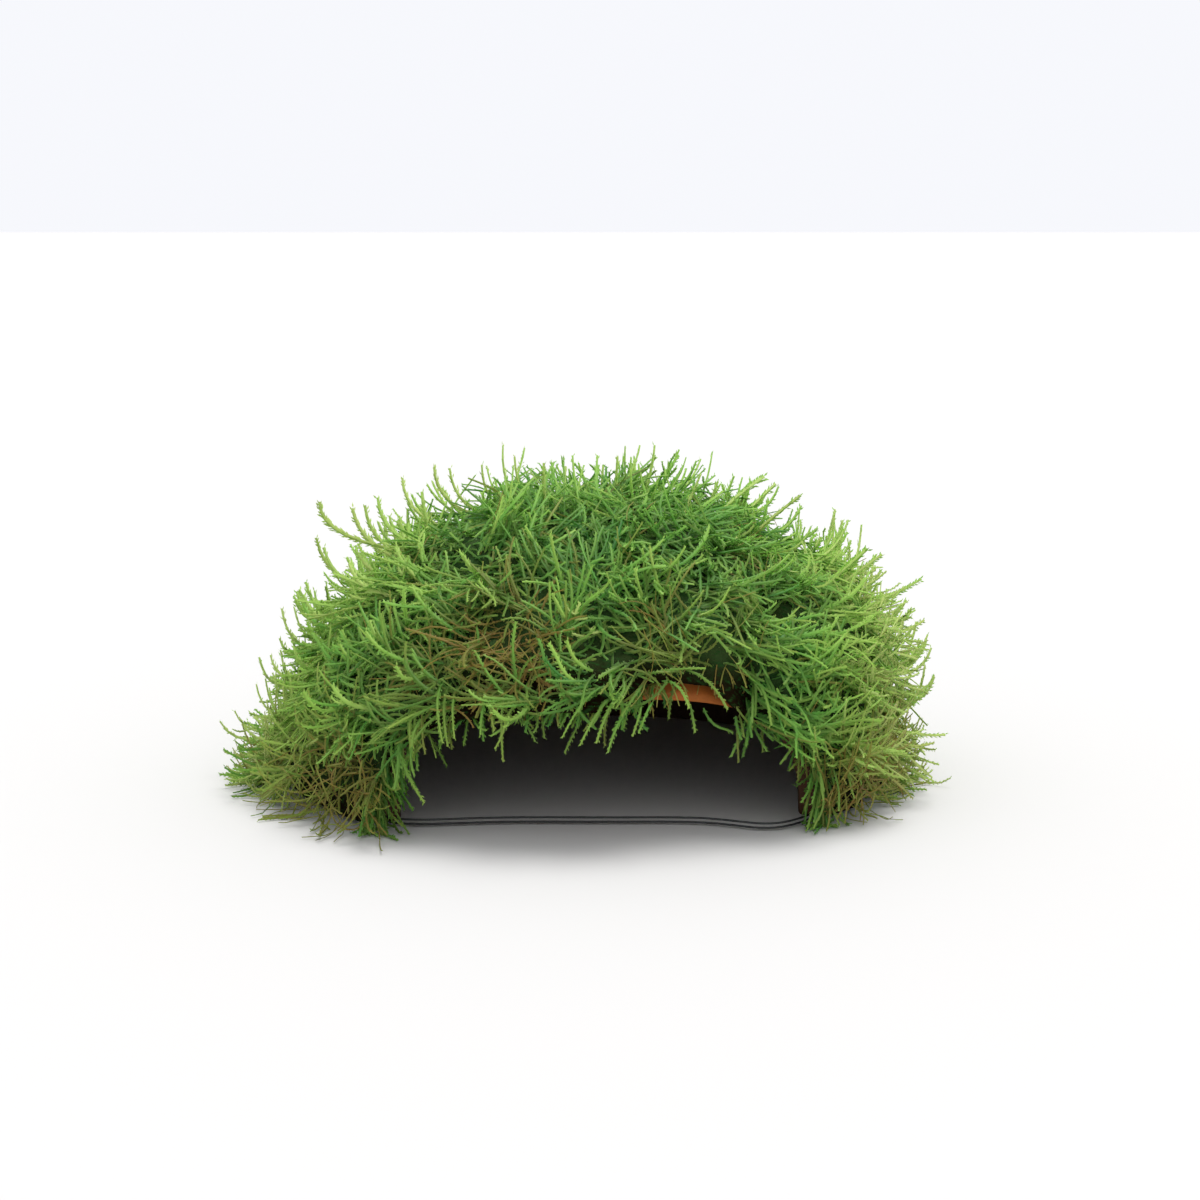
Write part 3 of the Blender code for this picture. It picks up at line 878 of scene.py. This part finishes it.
def fringe_fronds(settings, chance):
    """Fronds that hang from the doorway's edge: most all along it, others at its jambs and middle."""
    share = np.arange(FRINGE_COUNT) * GOLDEN_SHARE % 1
    group = np.arange(FRINGE_COUNT) % 7
    at_jambs = (share + 0.5) % 1 * 0.16 - 0.08
    at_middle = 0.42 + 0.14 * share
    turn = math.pi * np.select([group < 2, group == 2], [at_jambs, at_middle], share**0.85) % math.pi
    across, height = arch_line(turn)
    across = -across
    height = np.maximum(height + chance.uniform(-0.5, 8.0, FRINGE_COUNT) * MM, 2 * MM)
    roots = on_front(DOOR_CENTRE + (DOOR_HALF_WIDTH + 1 * MM) * across, height)
    keep = chance.random(FRINGE_COUNT) > bareness(roots)
    roots = roots[keep]
    across = across[keep]
    count = len(roots)
    sideways = 0.40 * across * (1 - 1.4 * across**4) - 0.7 * near(across - 0.05, 0.2)
    sideways = sideways + 0.28 * chance.normal(size=count)
    forwards = -0.30 + 0.2 * chance.normal(size=count)
    down = -0.95 + 0.2 * chance.normal(size=count)
    lengths = chance.uniform(3.0, 6.5, count) + 5.0 * chance.random(count) ** 3
    return Fronds(
        on_bed(roots),
        np.stack([sideways, forwards, down], axis=1),
        lengths=lengths * (1 + 0.5 * across**4) * MM,
        lift=0.2 * chance.normal(size=count) - 0.12,
        tone=0.42 + 0.25 * chance.normal(size=count),
        age=np.clip(0.18 + 0.22 * chance.normal(size=count), 0, 1),
        spacing=settings.leaf_spacing,
    )


def ground_fronds(settings, chance):
    """Fronds that fan out along the ground, longest at the left foot."""
    azimuth = chance.uniform(0, FULL_TURN, GROUND_COUNT)
    height = chance.uniform(1.5, 9.0, GROUND_COUNT) * MM
    roots = BED.place(azimuth, BED.rise_at(height))
    beside = np.abs(roots[:, 0] - DOOR_CENTRE) > DOOR_HALF_WIDTH + 2 * MM
    roots = roots[(roots[:, 1] > 0) | beside]
    roots = roots[chance.random(len(roots)) < 0.9 + 1.4 * roots[:, 1] / BED.half_sizes[1]]
    count = len(roots)
    leftness = np.maximum(-roots[:, 0] / BED.half_sizes[0], 0)
    headings = BED.outward(roots) * 0.7 + chance.normal(size=(count, 3)) * 0.42
    headings[:, 0] -= 0.5 * leftness**2
    headings[:, 2] = headings[:, 2] * 0.5 - 0.15
    return Fronds(
        on_bed(roots),
        headings,
        lengths=(chance.uniform(6.0, 10.0, count) + 4.0 * leftness**3) * MM,
        lift=0.25 + 0.3 * chance.normal(size=count),
        tone=0.6 + 0.2 * chance.normal(size=count),
        age=0.7 * frond_age(roots, chance),
        cover=0.0,
        spacing=settings.leaf_spacing,
    )


def stray_stems(settings, tufts, chance):
    """Thin brown stems, nearly bare, that cross the fronds here and there and in the old patches."""
    roots = even_places(8 * STRAY_COUNT, 1.0 * MM, chance)
    old = frond_age(roots, chance) + 0.25 * chance.random(len(roots))
    above_door = roots[:, 2] > arch_height(roots[:, 0]) * (roots[:, 1] < 0)
    roots = roots[np.argsort(-old * above_door)[:STRAY_COUNT]]
    out = BED.outward(roots)
    return Fronds(
        on_bed(roots),
        out * 0.7 + lean_of(roots, out, 0.3, 0.6, chance, tufts),
        lengths=chance.uniform(8.0, 15.0, STRAY_COUNT) * MM,
        girth=0.6,
        lift=0.3 * chance.normal(size=STRAY_COUNT),
        tone=0.6,
        age=np.clip(0.85 + 0.15 * chance.normal(size=STRAY_COUNT), 0, 1),
        settle=0.6,
        cover=chance.uniform(2.5, 5.5, STRAY_COUNT) * MM,
        spacing=9.0 * settings.leaf_spacing,
    )


def hanging_stems(chance):
    """Bare brown stems that hang over the open stretch of shell."""
    x = BARE_CENTRE[0] + BARE_HALF_SIZE[0] * chance.uniform(-2.8, 1.2, HANGING_COUNT)
    z = BARE_CENTRE[1] + chance.uniform(3.0, 9.0, HANGING_COUNT) * MM
    roots = on_front(x, z)
    return Fronds(
        on_bed(roots),
        chance.normal(size=roots.shape) * 0.35 + np.array([0.0, -0.45, -0.9]),
        lengths=chance.uniform(4.0, 9.0, HANGING_COUNT) * MM,
        girth=0.75,
        lift=-0.3,
        tone=0.8,
        age=np.clip(0.8 + 0.2 * chance.normal(size=HANGING_COUNT), 0, 1),
        spacing=5.0 * MM,
    )


def pale_sprigs(settings, chance):
    """Pale open shoots, a few to a sprig, that stand out among the fronds of the front, and stand in for
    small bright glints as painted highlights.
    """
    x, height = np.repeat(np.array(PALE_SPRIGS) * MM, SPRIG_SHOOTS, axis=0).T
    roots = on_front(x, height)
    out = BED.outward(roots)
    count = len(x)
    return Fronds(
        on_bed(roots) + out * chance.uniform(3.5, 6.0, count)[:, None] * MM,
        out * 0.5 + chance.normal(size=(count, 3)) * 0.7 + UP * 0.4,
        lengths=chance.uniform(2.0, 3.8, count) * MM,
        girth=0.95,
        lift=0.3,
        tone=2.5,
        age=0.0,
        spacing=0.9 * settings.leaf_spacing,
    )


def bowed_fronds(settings, roots, elbows, tips, girths, tones, oldest, chance):
    """Fronds that bow from their roots, past an elbow, to their tips, and the middle line of each."""
    count = len(roots)
    fronds = Fronds(
        roots,
        tips - roots,
        lengths=np.linalg.norm(tips - roots, axis=1) * BOWED_LENGTH,
        girth=chance.uniform(*girths, count),
        tone=chance.uniform(*tones, count),
        age=chance.uniform(0.0, oldest, count),
        spacing=BOWED_SPACING * settings.leaf_spacing,
    )
    share = np.linspace(0, 1, SPINE_STEPS + 1)[None, :, None]
    lower = roots[:, None] * (1 - share) + elbows[:, None] * share
    upper = elbows[:, None] * (1 - share) + tips[:, None] * share
    return fronds, lower * (1 - share) + upper * share


def skyline_leaders(settings, chance):
    """The long shoots of the skyline, from the bed to a tip each. Those at the left turn up sharply."""
    tip_x, tip_z = np.array(LEADER_TIPS).T * MM
    depth = chance.uniform(-LEADER_DEPTH, LEADER_DEPTH, len(tip_x))
    tips = np.stack([tip_x, depth, tip_z], axis=1)
    low = np.minimum(tip_z - LEADER_FOOT, 0.99 * BED.half_sizes[2])
    root_x = np.minimum(BED.half_sizes[0] * BED.reach_at(low), 0.9 * np.abs(tip_x))
    rise = np.arccos((root_x / BED.half_sizes[0]) ** (BED.fullness / 2))
    roots = BED.place(np.where(tip_x < 0, math.pi, 0.0), rise)
    roots[:, 1] = depth
    roots = on_bed(roots / BED.depth(roots)[:, None])
    bow = (LEADER_BOW * np.linalg.norm(tips - roots, axis=1))[:, None]
    slight = roots + BED.outward(roots) * bow + (tips - roots) * (0.5 - LEADER_BOW)
    under_tip = tips * [1, 1, 0.15] + roots * [0, 0, 0.85]
    elbows = np.where(tip_x[:, None] < 0, under_tip, slight) + chance.normal(size=tips.shape) * 0.6 * MM
    return bowed_fronds(settings, roots, elbows, tips, (1.4, 1.9), (1.9, 2.7), 0.3, chance)


def hanging_fronds(settings, chance):
    """The fronds that hang singly from the doorway's edge."""
    root_x, root_z, tip_x, tip_z = np.array(HANGING_LINES).T * MM
    roots = on_bed(on_front(root_x, root_z))
    tips = on_front(tip_x, tip_z)
    tips = tips + BED.outward(tips) * chance.uniform(1.5, 3.5, len(tips))[:, None] * MM
    bow = (HANGING_BOW * np.linalg.norm(tips - roots, axis=1) + 2 * MM)[:, None]
    elbows = (roots + tips) / 2 + (BED.outward(roots) + 0.5 * UP) * bow
    elbows = elbows + chance.normal(size=elbows.shape) * 0.5 * MM
    return bowed_fronds(settings, roots, elbows, tips, (0.85, 1.15), (0.7, 1.3), 0.4, chance)


def grow_spines(fronds, chance):
    """The middle line of each frond, which bends up towards its tip and stays out of the bed."""
    count = len(fronds.roots)
    spine = np.empty((count, SPINE_STEPS + 1, 3))
    spine[:, 0] = fronds.roots
    heading = fronds.headings
    grounded = fronds.cover > HANGS_FREE
    sway = SWAY * chance.normal(size=count) + TUFT_SWAY * uneven(fronds.roots, 11 * MM, 41)
    sway = sway * np.where(grounded, 1.0, 0.35)
    turn_back = chance.uniform(0.2, 1.4, count)
    droop = chance.normal(size=count) * 0.25
    step_length = (fronds.lengths / SPINE_STEPS)[:, None]
    for step in range(SPINE_STEPS):
        along = step / (SPINE_STEPS - 1)
        out = BED.outward(spine[:, step])
        round_out = np.cross(out, heading) * (sway * np.sign(turn_back - along))[:, None]
        bend = round_out + UP * (fronds.lift * (along * 1.6 - 0.2))[:, None]
        bend = bend - UP * (droop * along)[:, None]
        swell = bed_swell(spine[:, step]) / BED.half_sizes[0]
        above = (BED.depth(spine[:, step]) - 1 - swell) * BED.half_sizes[0]
        pull = np.clip((above - fronds.cover) / HOMING, -0.4, 1.6) * (1.1 - along)
        bend = bend - out * (fronds.settle * pull)[:, None]
        heading = unit(heading + bend * (BENDING / SPINE_STEPS))
        place = spine[:, step] + heading * step_length
        level = CLEAR_OF_BED + bed_swell(place) / BED.half_sizes[0]
        inside = np.maximum(level - BED.depth(place), 0) * grounded
        place = place * (1 + inside)[:, None]
        place[:, 2] = np.maximum(place[:, 2], LOWEST)
        spine[:, step + 1] = place
    return spine


def settled(spine, chance):
    """Which fronds keep clear of the doorway, the open stretch and the floor, but for a few."""
    in_doorway = (spine[..., 1] < 0) & (spine[..., 2] < arch_height(spine[..., 0]) - 1.5 * MM)
    on_floor = (spine[..., 1] < -20 * MM) & (spine[..., 2] < 1.5 * MM)
    over_bare = bareness(spine - UP * MM) > 0.5
    astray = (in_doorway.sum(axis=1) > 3) | (on_floor.sum(axis=1) > 2)
    over = (over_bare.sum(axis=1) > 1) & (chance.random(len(spine)) > OVER_BARE_SHARE)
    return ~(astray | over) | (chance.random(len(spine)) < ASTRAY_SHARE)


def frame_of(spine):
    """Directions ahead along each frond, to its side, and out of its flat face.

    Where a frond points straight out of the bed, that way can't be its flat face, so a turned one is.
    """
    ahead = unit(np.gradient(spine, axis=1))
    out = BED.outward(spine)
    straight = (ahead * out).sum(axis=-1, keepdims=True) ** 4
    out = out * (1 - straight) + np.roll(out, 1, axis=-1) * straight
    side = unit(np.cross(ahead, out + OFF_AXIS))
    return ahead, side, np.cross(side, ahead)


def sleeves(fronds, spine, width, chance):
    """The body of each frond, a flattened tapering tube: places, normals, shares, owners and faces."""
    count, rings, _ = spine.shape
    _, side, over = (directions[:, :, None] for directions in frame_of(spine))
    turns = FULL_TURN * np.arange(FROND_SIDES) / FROND_SIDES
    cosine = np.cos(turns)[:, None]
    sine = np.sin(turns)[:, None]
    uneven_width = 1 + 0.08 * chance.normal(size=(count, rings))
    half = width / 2 * fronds.girth[:, None] * FROND_TAPER * uneven_width
    ring = side * cosine + over * sine * FROND_FLATNESS
    places = spine[:, :, None] + ring * half[:, :, None, None]
    normals = unit(side * cosine * FROND_FLATNESS + over * sine)
    normals = unit(normals + SOFTENED * BED.outward(spine)[:, :, None])
    low = np.arange(count * rings).reshape(count, rings, 1)[:, :-1] * FROND_SIDES
    high = low + FROND_SIDES
    corner = np.arange(FROND_SIDES)
    after = (corner + 1) % FROND_SIDES
    walls = np.stack([low + corner, high + corner, high + after, low + after], axis=-1)
    tips = high[:, -1] + corner[::-1]
    shares = np.tile(np.repeat(np.linspace(0, 1, rings), FROND_SIDES), count)
    owner = np.repeat(np.arange(count), rings * FROND_SIDES)
    return places.reshape(-1, 3), normals.reshape(-1, 3), shares, owner, [walls.reshape(-1, 4), tips]


def leaves(fronds, spine, settings, chance):
    """Small flat leaves down both sides of each frond: places, normals, shares, owners and faces."""
    most = int((fronds.lengths / fronds.spacing).max())
    along = (np.arange(most)[None, :] + 0.5) * (fronds.spacing / fronds.lengths)[:, None]
    owner, number = np.nonzero(along < 1.0)
    count = len(owner)
    along = along[owner, number]
    spot = along * SPINE_STEPS
    step = np.minimum(spot.astype(int), SPINE_STEPS - 1)
    part = (spot - step)[:, None]
    low = spine[owner, step]
    high = spine[owner, step + 1]
    sides, overs = (directions[owner, step] for directions in frame_of(spine)[1:])
    turn = (number % 2 * math.pi + chance.normal(size=count) * 0.5)[:, None]
    radial = sides * np.cos(turn) + overs * np.sin(turn)
    girth = fronds.girth[owner] * (1 - 0.2 * along**2)
    base = low * (1 - part) + high * part + radial * (0.3 * settings.frond_width * girth)[:, None]
    opening = (LEAF_OPENING + 0.15 * chance.normal(size=count))[:, None]
    pointing = unit(high - low) * np.cos(opening) + radial * np.sin(opening)
    face = unit(overs + 0.35 * chance.normal(size=overs.shape))
    size = (girth * (1 + 0.12 * chance.normal(size=count)))[:, None]
    length = settings.leaf_length * size
    middle = base + pointing * (0.45 * length)
    across = unit(np.cross(pointing, face)) * (settings.leaf_width * size / 2)
    corners = [base, middle + across, base + pointing * length, middle - across]
    normals = unit(unit(radial + face) + SOFTENED * BED.outward(base))
    first = np.arange(count)[:, None] * 4
    faces = np.concatenate([first + np.array([0, 1, 2]), first + np.array([0, 2, 3])])
    of_leaf = (np.repeat(numbers, 4, axis=0) for numbers in (normals, along, owner))
    return np.stack(corners, axis=1).reshape(-1, 3), *of_leaf, [faces]


def frond_layout(faces, along, owner, count):
    """A flat place for each corner: a grid with one cell for each frond, its length along the cell."""
    columns = math.ceil(math.sqrt(count))
    corners = np.concatenate([group.ravel() for group in faces])
    spreads = []
    for group in faces:
        sides = group.shape[1]
        spreads.append(np.tile([np.linspace(0.3, 0.7, sides), np.arange(sides) % 2 * 0.04], len(group)))
    lane, nudge = np.concatenate(spreads, axis=1)
    column = owner[corners] % columns
    row = owner[corners] // columns
    u = (column + 0.1 + 0.76 * along[corners] + nudge) / columns
    return np.stack([u, (row + lane) / columns], axis=1)


# The pieces that the fronds are parted into, counterclockwise from the doorway as seen from above
SECTORS = (
    "moss_front_right",
    "moss_right",
    "moss_back_right",
    "moss_back_left",
    "moss_left",
    "moss_front_left",
)


class MOSS_OT_grow_fronds(bpy.types.Operator):
    """Grow the leafy fronds all over the bed"""

    bl_idname = "java_moss.grow_fronds"
    bl_label = "Grow Fronds"

    def execute(self, context):
        settings = context.scene.java_moss_settings
        chance = np.random.default_rng(FROND_SEED)
        tufts = even_places(settings.tuft_count, 2 * MM, chance)
        fronds = upper_fronds(settings, tufts, chance).joined(under_fronds(settings, tufts, chance))
        spine = grow_spines(fronds, chance)
        kept = settled(spine, chance)
        fronds = fronds.chosen(kept)
        spine = spine[kept]
        others = side_shoots(fronds, spine, chance).joined(
            fringe_fronds(settings, chance),
            ground_fronds(settings, chance),
            stray_stems(settings, tufts, chance),
            hanging_stems(chance),
            pale_sprigs(settings, chance),
        )
        leaders, leader_spine = skyline_leaders(settings, chance)
        hanging, hanging_spine = hanging_fronds(settings, chance)
        spine = np.concatenate([spine, grow_spines(others, chance), leader_spine, hanging_spine])
        fronds = fronds.joined(others, leaders, hanging)
        fronds.girth = fronds.girth * (1 - THINNER_WITH_AGE * fronds.age)
        finish = moss_finish(settings)
        azimuth = np.arctan2(fronds.roots[:, 1], fronds.roots[:, 0])
        order = np.argsort((azimuth + math.pi / 2) % FULL_TURN)
        weight = np.cumsum((fronds.lengths / fronds.spacing + FROND_SIDES * SPINE_STEPS)[order])
        bounds = np.searchsorted(weight, weight[-1] * np.arange(1, len(SECTORS)) / len(SECTORS))
        for name, rows in zip(SECTORS, np.split(order, bounds)):
            self.make_sector(name, fronds.chosen(rows), spine[rows], settings, finish, chance)
        return {"FINISHED"}

    def make_sector(self, name, fronds, spine, settings, finish, chance):
        *sleeve, sleeve_faces = sleeves(fronds, spine, settings.frond_width, chance)
        *leaf, leaf_faces = leaves(fronds, spine, settings, chance)
        places, normals, along, owner = (np.concatenate(pair) for pair in zip(sleeve, leaf))
        places[:, 2] = np.maximum(places[:, 2], LOWEST_EDGE)
        faces = [*sleeve_faces, *(group + len(sleeve[0]) for group in leaf_faces)]
        values = {"along": along, "tone": fronds.tone[owner], "age": fronds.age[owner]}
        layout = frond_layout(faces, along, owner, len(fronds.roots))
        mesh_piece(name, places, faces, finish, "java_moss", values, layout, normals)


# Thread: its turns round the shell's foot, its slack and bow across the doorway, and its knot
THREAD_GAP = 0.4 * MM
THREAD_LOW = 0.7 * MM
THREAD_HIGH = 1.6 * MM
THREAD_SLACK = 2.5 * MM
THREAD_BOW = 5.5 * MM
THREAD_BOW_PLACE = 0.8
THREAD_BOW_SPREAD = 0.22
THREAD_TURNS = 2
THREAD_STEPS = 220
THREAD_SIDES = 8
KNOT_ANGLE = math.radians(90)
KNOT_HALF_GAP = math.radians(1.2)
KNOT_SCALE = 0.30 * MM
KNOT_HEIGHT = 1.3 * MM
KNOT_STEPS = 73
TAIL_LENGTH = 5.0 * MM
TAIL_STEPS = 9


def thread_line(radius):
    """Two turns round the shell's foot, slack across the doorway, bowed forward at its right jamb."""
    start = KNOT_ANGLE + KNOT_HALF_GAP
    end = KNOT_ANGLE + THREAD_TURNS * FULL_TURN - KNOT_HALF_GAP
    azimuth = np.linspace(start, end, THREAD_TURNS * THREAD_STEPS + 1)
    share = np.linspace(0, 1, len(azimuth))
    hug = THREAD_GAP + radius
    places = SHELL.grown([hug, hug, 0]).place(azimuth, 0.0)
    jamb_reach = DOOR_HALF_WIDTH / SHELL_HALF_WIDTH
    across = (np.cos(azimuth) - DOOR_CENTRE / SHELL_HALF_WIDTH) / jamb_reach
    jamb_y = -SHELL_HALF_DEPTH * math.sqrt(1 - jamb_reach**2) - hug
    bow = THREAD_BOW * near(across - THREAD_BOW_PLACE, THREAD_BOW_SPREAD)
    slack = THREAD_SLACK * (1 - across**2)
    hanging = (np.sin(azimuth) < 0) & (np.abs(across) < 1)
    pulled = (jamb_y - bow - slack - places[:, 1]) * (1 - across**4)
    places[:, 1] += np.where(hanging, pulled, 0)
    places[:, 2] = THREAD_LOW + (THREAD_HIGH - THREAD_LOW) * smooth((share - 0.5) * 8 + 0.5)
    return places


def knot_line(middle):
    """The thread's knot, drawn tight against the back of the shell."""
    turn = np.linspace(0, FULL_TURN, KNOT_STEPS)
    across = np.sin(turn) + 2 * np.sin(2 * turn)
    rise = np.cos(turn) - 2 * np.cos(2 * turn)
    out = -np.sin(3 * turn)
    return middle + KNOT_SCALE * np.stack([across, out, rise], axis=1)


def tail_line(middle, side):
    """A cut end of the thread, which springs out of the knot to one side and down."""
    share = np.linspace(0, 1, TAIL_STEPS)
    offset = np.stack([side * share * 0.8, 0.45 * share, 0.25 * share - 0.4 * share**2], axis=1)
    return middle + TAIL_LENGTH * offset


def threads(lines, radius):
    """Round tubes along open lines, closed at both ends: places and faces."""
    corner = np.arange(THREAD_SIDES)
    turns = (FULL_TURN * corner / THREAD_SIDES)[:, None]
    places = []
    faces = []
    for line in lines:
        starts = THREAD_SIDES * (np.arange(len(line)) + sum(len(rings) for rings in places))
        ahead = unit(np.gradient(line, axis=0))
        side = unit(np.cross(ahead, UP))
        over = np.cross(side, ahead)
        ring = side[:, None] * np.cos(turns) + over[:, None] * np.sin(turns)
        caps = np.array([starts[0] + corner, starts[-1] + corner[::-1]])
        places.append(line[:, None] + ring * radius)
        faces += [ring_faces(starts, THREAD_SIDES), caps]
    return np.concatenate(places).reshape(-1, 3), faces


class MOSS_OT_wind_thread(bpy.types.Operator):
    """Wind the dark thread round the foot of the moss and tie it"""

    bl_idname = "java_moss.wind_thread"
    bl_label = "Wind Thread"

    def execute(self, context):
        settings = context.scene.moss_thread_settings
        finish = thread_finish(settings)
        line = thread_line(settings.radius)
        middle = np.array([0.0, line[0, 1], KNOT_HEIGHT])
        knot = [knot_line(middle), tail_line(middle, -1), tail_line(middle, 1)]
        mesh_piece("thread_turns", *threads([line], settings.radius), finish, "binding_thread")
        mesh_piece("thread_knot", *threads(knot, settings.radius), finish, "binding_thread")
        return {"FINISHED"}


# The stage, and where the middle of the object's foot is in the picture, in pixels of its frame
FLOOR_HALF_WIDTH = 6.0
LIGHT_WAY = (-0.16, -0.20, -1.0)
LIGHT_SPREAD = math.radians(34)
SENSOR_WIDTH = 36.0
IMAGE_WIDTH = 1200
FOOT_PIXEL = (592, 770)


class MOSS_OT_set_stage(bpy.types.Operator):
    """Set the pale floor, the soft lights and the camera"""

    bl_idname = "java_moss.set_stage"
    bl_label = "Set Stage"

    def execute(self, context):
        settings = context.scene.moss_stage_settings
        self.lay_floor(context, settings)
        self.hang_lights(context, settings)
        self.place_camera(context, settings)
        context.scene.view_settings.view_transform = "Standard"
        return {"FINISHED"}

    def lay_floor(self, context, settings):
        half = FLOOR_HALF_WIDTH
        mesh = bpy.data.meshes.new("studio_floor")
        corners = [(-half, -half, 0), (half, -half, 0), (half, half, 0), (-half, half, 0)]
        mesh.from_pydata(corners, [], [(0, 1, 2, 3)])
        mesh.materials.append(floor_finish(settings))
        floor = bpy.data.objects.new("studio_floor", mesh)
        context.scene.collection.objects.link(floor)

    def hang_lights(self, context, settings):
        world = bpy.data.worlds.new("pale_surroundings")
        world.use_nodes = True
        world.node_tree.nodes["Background"].inputs["Color"].default_value = (*settings.sky, 1.0)
        context.scene.world = world
        data = bpy.data.lights.new("top_light", "SUN")
        data.angle = LIGHT_SPREAD
        data.energy = settings.top_light
        light = bpy.data.objects.new("top_light", data)
        light.rotation_euler = Vector(LIGHT_WAY).to_track_quat("-Z", "Y").to_euler()
        context.scene.collection.objects.link(light)

    def place_camera(self, context, settings):
        data = bpy.data.cameras.new("camera")
        data.lens = settings.lens
        data.sensor_width = SENSOR_WIDTH
        pitch = settings.camera_pitch
        forward = Vector((0.0, math.cos(pitch), -math.sin(pitch)))
        right = Vector((1.0, 0.0, 0.0))
        focal = data.lens / SENSOR_WIDTH * IMAGE_WIDTH
        across = (FOOT_PIXEL[0] - IMAGE_WIDTH / 2) / focal
        above = (IMAGE_WIDTH / 2 - FOOT_PIXEL[1]) / focal
        ray = (forward + right * across + right.cross(forward) * above).normalized()
        camera = bpy.data.objects.new("camera", data)
        camera.location = ray * -settings.camera_distance
        camera.rotation_euler = (math.pi / 2 - pitch, 0.0, 0.0)
        context.scene.collection.objects.link(camera)
        context.scene.camera = camera


class MOSS_PT_panel(bpy.types.Panel):
    """The steps that build the moss-covered shell, and their sizes and colours"""

    bl_idname = "MOSS_PT_panel"
    bl_label = "Java Moss on Coconut"
    bl_space_type = "VIEW_3D"
    bl_region_type = "UI"
    bl_category = "Java Moss"

    def draw(self, context):
        for settings_name, operators in STEPS:
            box = self.layout.box()
            for operator in operators:
                box.operator(operator.bl_idname)
            settings = getattr(context.scene, settings_name)
            for key in settings.bl_rna.properties.keys():
                if key not in {"rna_type", "name"}:
                    box.prop(settings, key)


SETTINGS = {
    "moss_stage_settings": StageSettings,
    "coconut_shell_settings": ShellSettings,
    "java_moss_settings": MossSettings,
    "moss_thread_settings": ThreadSettings,
}
STEPS = (
    ("moss_stage_settings", (MOSS_OT_set_stage,)),
    ("coconut_shell_settings", (MOSS_OT_carve_shell,)),
    ("java_moss_settings", (MOSS_OT_lay_bed, MOSS_OT_grow_fronds)),
    ("moss_thread_settings", (MOSS_OT_wind_thread,)),
)
CLASSES = [*SETTINGS.values(), *(step for _, steps in STEPS for step in steps), MOSS_PT_panel]


def register():
    for kind in CLASSES:
        bpy.utils.register_class(kind)
    for name, kind in SETTINGS.items():
        setattr(bpy.types.Scene, name, PointerProperty(type=kind))


def unregister():
    for name in SETTINGS:
        delattr(bpy.types.Scene, name)
    for kind in reversed(CLASSES):
        bpy.utils.unregister_class(kind)


def main():
    register()
    bpy.ops.java_moss.set_stage()
    bpy.ops.java_moss.carve_shell()
    bpy.ops.java_moss.lay_bed()
    bpy.ops.java_moss.grow_fronds()
    bpy.ops.java_moss.wind_thread()


if __name__ == "__main__":
    main()
